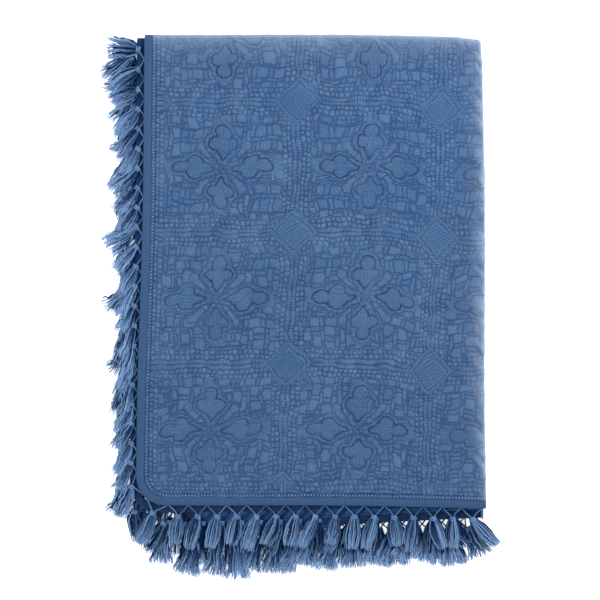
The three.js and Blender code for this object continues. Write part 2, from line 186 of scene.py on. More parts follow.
class Wire:
    """One output socket of a node tree."""

    FUNCTIONS = dict(
        minimum="MINIMUM", maximum="MAXIMUM", floor="FLOOR", absolute="ABSOLUTE", sqrt="SQRT", sin="SINE",
        exp="EXPONENT")

    def __init__(self, tree, socket):
        self.tree, self.socket = tree, socket

    @staticmethod
    def node(tree, kind, settings=None, sockets=None, out=0):
        made = tree.nodes.new(kind)
        for name, value in (settings or {}).items():
            setattr(made, name, value)
        for key, value in (sockets or {}).items():
            if isinstance(value, Wire):
                tree.links.new(value.socket, made.inputs[key])
            else:
                made.inputs[key].default_value = value
        return Wire(tree, made.outputs[out])

    def math(self, operation, first, second=0.0):
        return Wire.node(self.tree, "ShaderNodeMath", {"operation": operation}, {0: first, 1: second})

    def __array_ufunc__(self, function, method, *values):
        """A Math node for one of NumPy's functions."""
        return self.math(self.FUNCTIONS[function.__name__], *values)

    __add__ = __radd__ = operator("ADD")
    __mul__ = __rmul__ = operator("MULTIPLY")
    __sub__, __rsub__ = operator("SUBTRACT"), operator("SUBTRACT", swapped=True)
    __truediv__, __rtruediv__ = operator("DIVIDE"), operator("DIVIDE", swapped=True)
    __mod__, __gt__, __lt__ = operator("FLOORED_MODULO"), operator("GREATER_THAN"), operator("LESS_THAN")

    def ramp(self, low, high):
        """A soft step, from 0 at low to 1 at high."""
        sockets = {"Value": self, "From Min": low, "From Max": high}
        return Wire.node(self.tree, "ShaderNodeMapRange", {"interpolation_type": "SMOOTHSTEP"}, sockets)

    def bell(self, reach):
        """1 where the value is 0, falling to 0 within about two reaches on either side."""
        part = self * (1 / reach)
        return np.exp(part * part * -1.0)


# %% Helpers for materials
def linear(red, green, blue):
    """A colour given as on a screen, 0 to 255, as the shader's linear values."""
    parts = [c / 255 for c in (red, green, blue)]
    return (*[c / 12.92 if c < 0.04045 else ((c + 0.055) / 1.055) ** 2.4 for c in parts], 1.0)


def new_material(name, **constants):
    """A fabric material with its constant values set, its tree and its shader."""
    material = bpy.data.materials.new(name)
    material.use_nodes = True
    shader = material.node_tree.nodes["Principled BSDF"]
    for socket, value in constants.items():
        shader.inputs[socket.replace("_", " ")].default_value = value
    return material, material.node_tree, shader


def attribute(tree, name):
    return Wire.node(tree, "ShaderNodeAttribute", {"attribute_name": name}, out="Fac")


def noise(tree, place, scale, detail=2.0):
    return Wire.node(tree, "ShaderNodeTexNoise", {}, {"Vector": place, "Scale": scale, "Detail": detail})


def mix(tree, share, first, second):
    settings = {"data_type": "RGBA", "clamp_factor": True}
    return Wire.node(tree, "ShaderNodeMix", settings, {0: share, 6: first, 7: second}, out=2)


def feed(tree, shader, colour, roughness, relief, strength, distance):
    """Links a finish to its shader: colour, roughness and a bump from a relief."""
    sockets = {"Height": relief, "Strength": strength, "Distance": distance}
    bump = Wire.node(tree, "ShaderNodeBump", {}, sockets)
    for socket, wire in (("Base Color", colour), ("Roughness", roughness), ("Normal", bump)):
        tree.links.new(wire.socket, shader.inputs[socket])


# %% [markdown]
# ## The quilting
# The pattern is an old tile repeat: a flower of four lobed petals in each panel, patches round it whose rows
# turn from block to block, bands of small puffs between panels, and a diamond where four panels meet. The
# sewing pulls the cloth down along each line, and the cloth between lines puffs up. An image could carry that,
# but a painted relief stays flat at the edges. So everything comes from distances: the mesh is raised by how
# far a point is from the nearest sewn line, and it carries the distances as attributes, from which the shader
# draws lines finer than a cell.

# %% Sizes of the repeat
RELIEF = 2.2
GROUND = 0.25
HEM_FLAT = 6.0
HEM_RISE = 3.0
BORDER = 24.0
TILE = np.array([282.0, 250.0])
FLOWER = np.array([-184.0, -54.0])
COLUMN_DRIFT = 0.041
DRAWN_IN = dict(across=11.0, down=13.0, start=120.0, end=240.0)
WARPS = [dict(size=48, amount=3.6, seed=1), dict(size=17, amount=2.6, seed=3), dict(size=8, amount=1.2, seed=15)]
BAND = 27.0
BAND_PUFF = dict(long=9.5, wide=9.0, small=0.0)
BLOCK = (66.0, 55.0)
PATCH = dict(long=30.0, wide=28.0, small=0.28)
PUFF_STEPS = (0.618034, 0.754878)
PUFF_WARP = dict(size=34, amount=5.0, seed=21, start=12.0)
DIAMOND = dict(twill=33.0, inner=36.0, outer=48.0)
CHANCE_CELLS = 64
TINY = 1e-6


# %% Fields of chance and of puffs
def drift(x, y, size, seed):
    """A smooth random field from -1 to 1, with hills about a size apart."""
    table = np.random.default_rng(seed).uniform(-1, 1, (CHANCE_CELLS, CHANCE_CELLS))
    i, j = np.floor(x / size).astype(int), np.floor(y / size).astype(int)
    s, t = smooth(x / size - i, 0, 1), smooth(y / size - j, 0, 1)

    def at(column, row):
        return table[column % CHANCE_CELLS, row % CHANCE_CELLS]

    near, far = (at(i, j + k) * (1 - s) + at(i + 1, j + k) * s for k in (0, 1))
    return near * (1 - t) + far * t


def cells(turns, small):
    """For places in turns of one large and one small cell: the distance to a seam, and the cell's number."""
    part = turns % 1
    gap = np.minimum(np.minimum(part, 1 - part), np.abs(part - (1 - small)))
    return gap, 2 * np.floor(turns) + (part > 1 - small)


def puffs(x, y, kind):
    """Distance in mm to the nearest seam of shifted rows of puffs, and a number from 0 to 1 for each puff."""
    end, row = cells(y / kind["wide"], kind["small"])
    side, cell = cells(x / kind["long"] + row * PUFF_STEPS[0], kind["small"])
    gaps = side * kind["long"], end * kind["wide"]
    rounded = gaps[0] * gaps[1] / np.maximum(TINY, np.sqrt(gaps[0] * gaps[0] + gaps[1] * gaps[1]))
    return rounded, (cell * PUFF_STEPS[0] + row * PUFF_STEPS[1]) % 1


def patches(x, y):
    """The puffs of the ground, whose rows turn from one block to the next."""
    (side, column), (end, row) = (cells(turns, 0.0) for turns in (x / BLOCK[0], y / BLOCK[1]))
    turned = (column + row) / 2 % 2 > 0.5
    flat, tall = puffs(x, y, PATCH), puffs(y, x, PATCH)
    gap, mark = (first + (second - first) * turned for first, second in zip(flat, tall))
    return np.minimum(gap, np.minimum(side * BLOCK[0], end * BLOCK[1])), mark


def band_puffs(along, strip):
    """The puffs of a band: a plain middle, and two rows of puffs on each side of it."""
    gap, mark = puffs(along, strip, BAND_PUFF)
    plain = np.minimum(np.abs(strip), BAND_PUFF["wide"] - strip)
    return gap + (plain - gap) * (strip < BAND_PUFF["wide"]), mark


# %% Petals and leaves
CONTOUR = 8.5
CENTRE = dict(reach=8.0, stretch=1.2)
PETAL_LENGTH = 80.0
SIDE_PETAL = dict(length=97.0, wide=0.84)
PETAL_BLEND = 0.8
PETAL_LOBES = [
    dict(along=66, across=0, long=14, wide=14),
    dict(along=45, across=14, long=12, wide=12),
    dict(along=40, across=0, long=18, wide=13),
    dict(along=27, across=0, long=11, wide=6),
]
LEAF_LOBES = [
    dict(u=32, v=29, reach=11),
    dict(u=43, v=41, reach=9),
]
NEAR_FLOWER = (108.0, 94.0)
NEAR_FADE = 0.8


def blended(distances, softness):
    """The distance to shapes that have run together, with soft inner corners."""
    return -softness * np.log(sum(np.exp(-d / softness) for d in distances))


def petal_distance(along, across, long, wide):
    """Signed distance to the outline of a lobed petal, below 0 inside it."""
    along, across = along / long, np.abs(across) / wide
    return blended([
        (np.hypot((along - lobe["along"]) / lobe["long"], (across - lobe["across"]) / lobe["wide"]) - 1)
        * min(lobe["long"], lobe["wide"]) for lobe in PETAL_LOBES], PETAL_BLEND)


def leaf_distance(u, v):
    """Signed distance to the outline of the flower's centre and of the round leaves between the petals."""
    leaves = [np.hypot(u - leaf["u"], v - leaf["v"]) - leaf["reach"] for leaf in LEAF_LOBES]
    return np.minimum.reduce([np.hypot(u / CENTRE["stretch"], v) - CENTRE["reach"], *leaves])


# %% Distances to the sewn lines
PULL = dict(usual=0.72, spread=0.5, size=22, seed=6)


def sewing_of(x, y, inside, by_hem):
    """The warped place of points on the flat sheet, and their distances to the sewn lines in mm.

    Inside is the distance from the free edge, and by_hem is 1 beside the hem, for the rows of the border.
    """
    strength = PULL["usual"] + PULL["spread"] * drift(x, y, PULL["size"], PULL["seed"])
    shift = [sum(w["amount"] * drift(x, y, w["size"], w["seed"] + k) for w in WARPS) for k in (0, 1)]
    drawn = smooth(x, DRAWN_IN["start"], DRAWN_IN["end"])
    x, y = x + shift[0] + DRAWN_IN["across"] * drawn, y + shift[1] + DRAWN_IN["down"] * drawn
    straight = x - COLUMN_DRIFT * (y - FLOWER[1])
    turns = (straight - FLOWER[0]) / TILE[0], (y - FLOWER[1]) / TILE[1]
    u, v = (np.abs(turn - np.round(turn)) * size for turn, size in zip(turns, TILE))
    to_side, to_top = TILE[0] / 2 - u, TILE[1] / 2 - v
    in_border = inside < BORDER
    panel = np.minimum(np.minimum(to_side, to_top) - BAND, inside - BORDER)
    side_petal = petal_distance(u, v, SIDE_PETAL["length"] / PETAL_LENGTH, SIDE_PETAL["wide"])
    away = np.hypot(u / NEAR_FLOWER[0], v / NEAR_FLOWER[1])
    slack = PUFF_WARP["amount"] * smooth(panel, 0, PUFF_WARP["start"])
    warp = [slack * drift(x, y, PUFF_WARP["size"], PUFF_WARP["seed"] + k) for k in (0, 1)]
    return np.stack([straight + warp[0], y + warp[1]], axis=-1), dict(
        petal=np.minimum(petal_distance(v, u, 1.0, 1.0), side_petal),
        leaf=leaf_distance(u, v),
        panel=panel,
        corner=np.where(in_border, TILE[0], to_side + to_top),
        near=1 - smooth(away, NEAR_FADE, 1.0),
        rowwise=np.where(in_border, by_hem, to_top < to_side).astype(float),
        strength=strength)


# %% Height of the quilting
DOMES = dict(
    petal=dict(soft=6.0, raised=0.4),
    leaf=dict(soft=4.0, raised=0.25),
    diamond=dict(soft=7.0, raised=0.3),
    patch=dict(soft=2.5, raised=0.4),
)
PATCH_LEAST = 0.4
BAND_RAISED = 0.25
RIDGE = dict(reach=3.0, raised=0.2)
SEWN = dict(reach=1.8, contour=0.7, depth=0.4)


def dome(kind, depth):
    """A puff that rises behind its seam and levels out, as a share of the relief; 0 outside it."""
    shape = DOMES[kind]
    return shape["raised"] * (1 - np.exp(-np.maximum(0, depth) / shape["soft"]))


def quilting(x, y, inside, by_hem):
    """Height in mm for places on the flat sheet, their warped place and their distances to the sewn lines."""
    warped, sewing = sewing_of(x, y, inside, by_hem)
    petal, leaf, panel, corner, near = (sewing[k] for k in ("petal", "leaf", "panel", "corner", "near"))
    off_diamond = corner > DIAMOND["outer"]
    on_ground = (panel > 0) & (petal > CONTOUR) & (leaf > 0) & off_diamond
    across, along = warped[..., 0], warped[..., 1]
    patch, patch_mark = patches(across, along)
    band, _ = band_puffs(np.where(sewing["rowwise"] > 0, across, along), panel + BAND)
    raised = dome("petal", -petal) + dome("leaf", -leaf) * (petal > 0) + dome("diamond", DIAMOND["inner"] - corner)
    raised = raised + dome("patch", patch) * (PATCH_LEAST + (1 - PATCH_LEAST) * patch_mark) * on_ground
    raised = raised + BAND_RAISED * band / (BAND_PUFF["wide"] / 2) * ((panel < 0) & off_diamond)
    raised = raised + RIDGE["raised"] * bell(petal - CONTOUR / 2, RIDGE["reach"]) * near
    contour = SEWN["contour"] * bell(petal - CONTOUR, SEWN["reach"]) * near
    sewn = SEWN["depth"] * sewing["strength"] * np.maximum(bell(petal, SEWN["reach"]), contour)
    return RELIEF * (GROUND + raised - sewn), warped, sewing


row_across = np.linspace(FLOWER[0], FLOWER[0] + TILE[0], 200)
row_heights, *_ = quilting(row_across, np.full(200, FLOWER[1]), np.full(200, TILE[1]), False)
print(f"relief along a row of flowers: {row_heights.min():.1f} to {row_heights.max():.1f} mm")


# %% [markdown]
# ## The dyed cotton
# The cloth took its dye after it was sewn, and its colour also carries painted light. The sewn seams are navy:
# dye, with painted shade in their grooves. The raised puffs and pebbles are lighter and darker towards their
# seams, painted highlight and shade, and the creases between the pebbles are darker, painted shade. The rounds
# of the folds are pale with painted light, and the inner layers are a lighter, deeper blue, a painted fill
# light for the shadow they lie in. A flat colour with a bump would miss that. Here the colour follows the sewing
# exactly, because the shader works from the mesh's own distances, and the rules of the puffs take wires as well
# as arrays, on a UV map that is warped as the sewing is.

# %% Colours and sizes of the cotton
COTTON = linear(53, 86, 129)
COTTON_PALE = linear(112, 144, 184)
COTTON_SEAM = linear(30, 57, 100)
# Pale colour of the painted light on the rounds of the folds.
COTTON_FOLD_LIGHT = linear(158, 177, 206)
# Lighter, deeper blue for the inner layers: painted fill light for the shadow they lie in.
COTTON_FILL_LIGHT = linear(66, 120, 185)
THREADS_PER_M = 900.0
SLUBS_PER_M = 420.0
MOTTLES_PER_M = 14.0
PEBBLES = dict(per_m=125.0, chance=0.75, rise=(0.06, 0.36), crease=(0.02, 0.16), reach=4.0)
PEBBLED = dict(contour=5.0, by_contour=0.5, hem=12.0, by_hem=0.8)
TWILL = dict(per_m=158.0, steep=1.1, shallow=0.6, weight=0.7, fade=(-8.0, 2.0))
HATCH = dict(pitch=5.2, clouds_per_m=(40.0, 55.0), shows=(0.5, 0.7), on_petal=0.7)
ROUGH_EDGE = dict(per_m=190.0, size=3.0)
MASK_EDGE = 2.0
LINE_WIDTH = 1.0
BOLD_WIDTH = 1.25
SEAM_WIDTH = 0.8
BAND_SEAM_WIDTH = 1.12
HEM_ROWS = [dict(inset=4.2, width=1.6, weight=0.75), dict(inset=7.8, width=1.1, weight=0.75)]
# Weights towards the pale cotton: raised parts, puffs and pebbles get lighter and seams darker, painted highlight and
# shade; the other weights are the cloth's own tone.
FADE_AND_PAINTED_LIGHT = dict(
    lift=0.15, puffed=0.26, petal=-0.12, plain=-0.05, apart=0.14, pebble=0.12, diagonal=0.3, twill=-0.18,
    mottle=0.4, slub=0.9, hatch=0.1)
# Darkening towards the seam colour: the sewn lines and hem rows, dark from dye and with painted shade in their
# grooves, and the creases between pebbles, painted shade.
SEAM_DYE_AND_SHADE = dict(lines=0.9, crease=0.35, hem_lines=1.0)
BUMPS = dict(weave=0.25, slub=0.8, diagonal=0.6, pebble=1.4, puffed=1.2, lines=-1.6, hem_lines=-1.6)


def weighed(weights, **parts):
    """The sum of some values, each times its weight."""
    return sum(parts[name] * weight for name, weight in weights.items())


# %% Where each part of the pattern lies
quilted_cotton, tree, shader = new_material(
    "quilted_cotton", Specular_IOR_Level=0.15, Sheen_Weight=0.3, Sheen_Roughness=0.3,
    Sheen_Tint=linear(205, 216, 234))
uv, sewing = (Wire.node(tree, "ShaderNodeUVMap", {"uv_map": name}) for name in ("cloth", "sewing"))
place = Wire.node(tree, "ShaderNodeTexCoord", out="Object")
across, along = (Wire.node(tree, "ShaderNodeSeparateXYZ", {}, {0: sewing}, out=k) * (1 / MM) for k in (0, 1))
near, rowwise, strength = (attribute(tree, name) for name in ("near", "rowwise", "strength"))
inside, worn, lift, kept = (attribute(tree, name) for name in ("inside", "worn", "lift", "kept"))
rough_edge = (noise(tree, uv, ROUGH_EDGE["per_m"]) - 0.5) * ROUGH_EDGE["size"]
petal, leaf, panel, corner = (attribute(tree, name) + rough_edge for name in ("petal", "leaf", "panel", "corner"))

run, strip = along + (across - along) * rowwise, panel + BAND
patch, patch_mark = patches(across + rough_edge, along + rough_edge)
band_puff, band_mark = band_puffs(run, strip)
bead, _ = puffs(across, along, BAND_PUFF)
off_diamond = corner.ramp(DIAMOND["outer"] - MASK_EDGE / 2, DIAMOND["outer"] + MASK_EDGE / 2)
in_panel = panel.ramp(0.0, MASK_EDGE)
in_band = (1.0 - panel.ramp(-MASK_EDGE / 2, MASK_EDGE / 2)) * off_diamond
on_ground = petal.ramp(CONTOUR, CONTOUR + 1.5 * MASK_EDGE) * in_panel * leaf.ramp(0.0, MASK_EDGE) * off_diamond
past_ridge = petal.ramp(CONTOUR - MASK_EDGE, CONTOUR - MASK_EDGE / 4)
on_ridge = petal.ramp(MASK_EDGE / 4, MASK_EDGE) * (1.0 - past_ridge) * near * in_panel
in_frame = corner.ramp(DIAMOND["inner"], DIAMOND["inner"] + MASK_EDGE) * (1.0 - off_diamond)
in_middle = 1.0 - strip.ramp(BAND_PUFF["wide"] - MASK_EDGE, BAND_PUFF["wide"])
plain = in_band * in_middle + in_frame
on_petal = 1.0 - petal.ramp(-2 * MASK_EDGE, 0.0)
in_field = inside.ramp(HEM_FLAT, HEM_FLAT + HEM_RISE)
print("quilted_cotton, with its places:", len(tree.nodes), "nodes")

# %% Lines, pebbles and twill
lines = 0.0
for gap, where, width, weight in (
        (petal, 1.0, BOLD_WIDTH, 1.0), (petal - CONTOUR, near, BOLD_WIDTH, 0.7),
        (leaf, petal.ramp(MASK_EDGE, 2.5 * MASK_EDGE) * off_diamond, LINE_WIDTH, 0.6),
        (panel, off_diamond, LINE_WIDTH, 0.6), (corner - DIAMOND["outer"], 1.0, BOLD_WIDTH, 0.85),
        (corner - DIAMOND["inner"], 1.0, LINE_WIDTH, 0.25), (patch, on_ground, SEAM_WIDTH, 0.42),
        (bead, on_ridge, SEAM_WIDTH, 0.3), (band_puff, in_band, BAND_SEAM_WIDTH, 0.62)):
    lines = np.maximum(lines, gap.bell(width) * where * weight)
lines = lines * strength * in_field
first_row, second_row = ((inside - row["inset"]).bell(row["width"]) * row["weight"] for row in HEM_ROWS)
hem_lines = np.maximum(first_row, second_row)
to_crease = Wire.node(
    tree, "ShaderNodeTexVoronoi", {"feature": "DISTANCE_TO_EDGE", "voronoi_dimensions": "2D"},
    {"Vector": uv, "Scale": PEBBLES["per_m"], "Randomness": PEBBLES["chance"]})
by_contour = on_ground * (petal - CONTOUR - PEBBLED["contour"]).bell(PEBBLES["reach"]) * PEBBLED["by_contour"]
by_hem = (inside - PEBBLED["hem"]).bell(PEBBLES["reach"]) * PEBBLED["by_hem"]
grain = np.maximum(by_contour, by_hem) * in_field
# Pebbles are lighter in their middles, a painted highlight, and darker in the creases between them, painted shade.
pebble = to_crease.ramp(*PEBBLES["rise"]) * grain
crease = (1.0 - to_crease.ramp(*PEBBLES["crease"])) * grain
twill_pace = TWILL["per_m"] * MM * math.tau
rising = np.sin((across + along * TWILL["steep"]) * twill_pace)
falling = np.sin((across * TWILL["shallow"] - along) * twill_pace)
in_twill = 1.0 - corner.ramp(*(DIAMOND["twill"] + edge for edge in TWILL["fade"]))
diagonal = (rising + falling) * TWILL["weight"] * in_twill
print("quilted_cotton, with its lines:", len(tree.nodes), "nodes")

# %% Colour and relief of the cotton
mottle = noise(tree, place, MOTTLES_PER_M, 4.0) - 0.5
slub = noise(tree, place, SLUBS_PER_M, 3.0) - 0.5
thread_pace, hatch_pace = THREADS_PER_M * MM * math.tau, math.tau / HATCH["pitch"]
weave = np.sin(across * thread_pace) * np.sin(along * thread_pace)
clouds = [noise(tree, uv, per_m).ramp(*HATCH["shows"]) for per_m in HATCH["clouds_per_m"]]
hatch = np.sin(across * hatch_pace) * clouds[0] + np.sin(along * hatch_pace) * clouds[1]
hatch = hatch + np.sin(run * hatch_pace) * np.maximum(plain, on_petal * HATCH["on_petal"])
# Near 1 inside a puff and falling towards its seams: the colour lightens with it, painted highlight and shade.
puffed = 1.0
for gap, where, width in (
        (petal, 0.7, 3.0), (petal - CONTOUR, near * 0.6, 3.0), (leaf, petal.ramp(0.0, 3.0) * 0.6, 3.0),
        (patch, on_ground, 3.0), (band_puff, in_band, 2.8), (bead, on_ridge * 0.6, 2.0),
        (corner - DIAMOND["inner"], 1.0, 3.0)):
    puffed = puffed * (1.0 - where * (1.0 - np.abs(gap).ramp(0.3, width)))
beaded = (band_mark - 0.5) * 2.0 + (1.0 - plain) * 0.7
apart = (patch_mark - 0.5) * on_ground + beaded * in_band

# Lighter where the cloth rises and darker towards the seams, painted highlight and shade, over the cloth's own
# mottled tone.
fade_and_painted_light = weighed(
    FADE_AND_PAINTED_LIGHT, lift=lift, puffed=puffed, petal=on_petal, plain=plain, apart=apart, pebble=pebble, diagonal=diagonal,
    twill=in_twill, mottle=mottle, slub=slub, hatch=hatch)
body = mix(tree, fade_and_painted_light, COTTON, COTTON_PALE)
sewn = mix(tree, weighed(SEAM_DYE_AND_SHADE, lines=lines, crease=crease, hem_lines=hem_lines), body, COTTON_SEAM)
# The cotton's colour, with painted light on the folds and painted fill light on the inner layers.
cloth_colour = mix(tree, kept, mix(tree, worn, sewn, COTTON_FOLD_LIGHT), COTTON_FILL_LIGHT)
rough = 0.88 - lift * 0.06 + slub * 0.1
relief = weighed(
    BUMPS, weave=weave, slub=slub, diagonal=diagonal, pebble=pebble, puffed=puffed, lines=lines, hem_lines=hem_lines)
feed(tree, shader, cloth_colour, rough, relief, 0.5, 0.0008)
print("quilted_cotton, finished:", len(tree.nodes), "nodes")

# %% [markdown]
# ## Yarn, tape and thread
# Tassels and tape are the same dyed cotton, spun and plied. One material for each could be painted by hand,
# but they differ only in colour and in how often their plies turn, so one function makes all three. `tint`
# makes each yarn lighter or darker: by chance, and as painted shade on the yarn, tape and thread of the lower
# layers, at the roots and deep in a skirt. `tip` fades it towards its cut end, where the plies have opened.
# The light and dark bands along the plies and the tape's ribs are painted shading.

# %% Fringe yarn, heading tape and thread
YARN = linear(56, 98, 149)
YARN_DARK = linear(13, 37, 80)
YARN_PALE = linear(150, 188, 234)
TAPE = linear(52, 83, 123)
TAPE_PALE = linear(75, 105, 145)
THREAD = linear(112, 140, 180)
PLIES_PER_M = 260.0
RIB_PITCH = 4.0
FIBRE = dict(per_m=700.0, wander=3.0, rise=0.25)
YARN_FADE_AND_SHADE = dict(tint=0.5, tip=0.6, fibre=0.5)


def fibre_material(name, base, light, dark, plies_per_m, ply_painted_shade):
    material, tree, shader = new_material(
        name, Specular_IOR_Level=0.06, Sheen_Weight=0.05, Sheen_Roughness=0.4, Sheen_Tint=linear(170, 188, 220))
    place = Wire.node(tree, "ShaderNodeTexCoord", out="Object")
    tint, tip, along = (attribute(tree, k) for k in ("tint", "tip", "along"))
    fibre = noise(tree, place, FIBRE["per_m"], 3.0)
    twist = np.sin(along * (plies_per_m * math.tau) + fibre * FIBRE["wander"])
    # Light and dark bands along the plies and the tape's ribs: painted shading of their relief.
    shade = mix(tree, 0.5 - tint * 0.5, base, dark)
    fade_and_painted_light = weighed(YARN_FADE_AND_SHADE, tint=tint, tip=tip, fibre=fibre - 0.5) + twist * ply_painted_shade
    feed(tree, shader, mix(tree, fade_and_painted_light, shade, light), 0.85 + fibre * 0.1, twist * FIBRE["rise"] + fibre, 0.5, 0.0005)
    return material


fringe_yarn = fibre_material("fringe_yarn", YARN, YARN_PALE, YARN_DARK, PLIES_PER_M, 0.05)
heading_cotton = fibre_material("heading_cotton", TAPE, TAPE_PALE, YARN_DARK, 1 / (RIB_PITCH * MM), 0.25)
stitch_thread = fibre_material("stitch_thread", THREAD, YARN_PALE, YARN_DARK, 0.0, 0.0)
print("fringe_yarn, heading_cotton and stitch_thread made")

# %% [markdown]
# ## The cloth
# The whole throw is one closed sheet, 4 mm thick: a show side, a back and the narrow edge between them.
# Its show side is cut finely where the top layer is seen, and coarsely inside the folds, where nothing
# shows. A cell beside the fine part takes all the points along that side, so there are no open joints.

# %% Stations of the sheet
FACE = FOLD - np.array(LAYERS[0]["corner"], float)
CORNER_SHARE = CORNER_RADIUS / FACE[1]
CELL = 2.5
COARSE_CELL = 45.0
FOLD_RADII = (5.0, 11.0)
FOLD_MIDDLE = 1.5
FOLD_STEPS = (6, 10)
FOLD_REST = (1.67, 1.83)
HIDDEN_CELLS = 15


def stations(face, steps):
    """Fine stations to the middle of the fold, which of them are also coarse ones, and coarse ones on to 3."""
    count = round(face / CELL)
    keep = round(COARSE_CELL / CELL)
    fine = np.concatenate([np.arange(count) / count, np.linspace(1, FOLD_MIDDLE, steps + 1)])
    coarse = sorted({*range(0, count, keep), *range(count, len(fine), 2), len(fine) - 1})
    return fine, coarse, np.concatenate([FOLD_REST, np.linspace(2, 3, HIDDEN_CELLS + 1)])


def there_and_back(coordinate):
    """The share of a layer from its free edge to its fold."""
    return np.minimum(1, np.where(coordinate < FOLD_MIDDLE, coordinate, 3 - coordinate))


def sheet_plan(across, along):
    """Where points of the sheet lie in plan, each coordinate 0 to 3: a layer, the fold and the layer below."""
    over, up = there_and_back(across), there_and_back(along)
    on_arc, on_side = np.minimum(1, up / CORNER_SHARE), np.maximum(0, (up - CORNER_SHARE) / (1 - CORNER_SHARE))
    plan = np.zeros((*up.shape, 2))
    for layer in LAYERS:
        mine = (along > FOLD_MIDDLE) == (layer["number"] > 2)
        mine &= (across > FOLD_MIDDLE) == (not layer["outer"])
        edge = layer["edge"]
        left = edge.at(edge.hem + edge.arc * on_arc + edge.side * on_side)
        right = np.array(layer["hem_fold"]) * (1 - up[..., None]) + FOLD * up[..., None]
        plan = np.where(mine[..., None], left + (right - left) * over[..., None], plan)
    return plan


def unfolded(coordinate, plan, fold, radius):
    """A coordinate on the flat sheet: the plan's, then on round the fold."""
    turned = np.clip(coordinate - 1, 0, 1) * math.pi * radius
    return np.where(coordinate < FOLD_MIDDLE, plan + turned, 2 * fold - plan + turned)


# %% Points of the show side and the back
CREASE = dict(slope=math.radians(-50), pitch=8.0, stretch=0.2, depth=0.9, reach=24.0, seed=9)
# Painted light on the round of each fold: some on the flat before it, most over the round, paler where creases cross,
# and less past its upright side.
FOLD_LIGHT = [
    dict(before=0.5, fade=12.0, round=(0.0, 7.0), after=0.85, creased=0.8, upright=(4.0, 8.5), under=0.3),
    dict(before=0.34, fade=17.0, round=(0.0, 13.0), after=0.82, creased=0.3, upright=(10.0, 18.0), under=0.3),
]
FOLD_LIGHT_END = 1.6


def creases(x, y):
    """Slanting creases where the cloth is drawn round a fold, from -1 to 1."""
    down, over = math.sin(CREASE["slope"]), math.cos(CREASE["slope"])
    return drift(over * y - down * x, CREASE["stretch"] * (over * x + down * y), CREASE["pitch"], CREASE["seed"])


def worn_share(past, fold, creased):
    """How much painted light lies on the cloth at a distance past the start of a fold, in mm."""
    share = fold["before"] * np.exp(np.minimum(0, past) / fold["fade"]) * (1 + fold["creased"] * creased)
    share = share + (fold["after"] - share) * smooth(past, *fold["round"])
    return share + (fold["under"] - share) * smooth(past, *fold["upright"])


def sheet_points(across, along, show):
    """Points of one side of the sheet in metres, with its flat place, its warped place and its sewing."""
    both = (across, along)
    plan = sheet_plan(*both)
    flat = [unfolded(c, plan[..., k], FOLD[k], FOLD_RADII[k]) for k, c in enumerate(both)]
    on_top = (across < FOLD_MIDDLE) & (along < FOLD_MIDDLE)
    inside = np.where(on_top, LAYERS[0]["edge"].inside(plan[..., 0], plan[..., 1]), 0)
    by_hem = along * FACE[1] < across * FACE[0]
    height, warped, sewing = quilting(*flat, inside, by_hem)
    turns = [math.pi * np.clip(c - 1, 0, 1) for c in both]
    past = [np.where(c < 1, (c - 1) * FACE[k], turns[k] * FOLD_RADII[k]) for k, c in enumerate(both)]
    creased = creases(*flat)
    field = smooth(inside, HEM_FLAT, HEM_FLAT + HEM_RISE)
    height = height * field + RELIEF * GROUND * (1 - field)
    height = height + CREASE["depth"] * creased * np.exp(-np.abs(past[0]) / CREASE["reach"]) * field
    worn = [worn_share(p, w, creased) * (c < FOLD_LIGHT_END) for p, w, c in zip(past, FOLD_LIGHT, both)]
    # The inner layers take the colour of the painted fill light.
    kept = (across >= 2).astype(float)
    sewing.update(lift=np.clip(height / RELIEF, 0, 1), inside=inside, worn=np.maximum(*worn), kept=kept)
    points = stack_point(LAYERS[0], plan[..., 0], plan[..., 1], THICKNESS + height if show else 0 * height, *turns)
    return on_floor(points, 0) * MM, dict(sewing, cloth=np.stack(flat, axis=-1) * MM, sewing=warped * MM)


across_fine, across_kept, across_beyond = stations(FACE[0], FOLD_STEPS[0])
along_fine, along_kept, along_beyond = stations(FACE[1], FOLD_STEPS[1])
across_coarse = np.concatenate([across_fine[across_kept], across_beyond])
along_coarse = np.concatenate([along_fine[along_kept], along_beyond])
print("fine stations:", len(across_fine), "by", len(along_fine))
print("coarse stations:", len(across_coarse), "by", len(along_coarse))


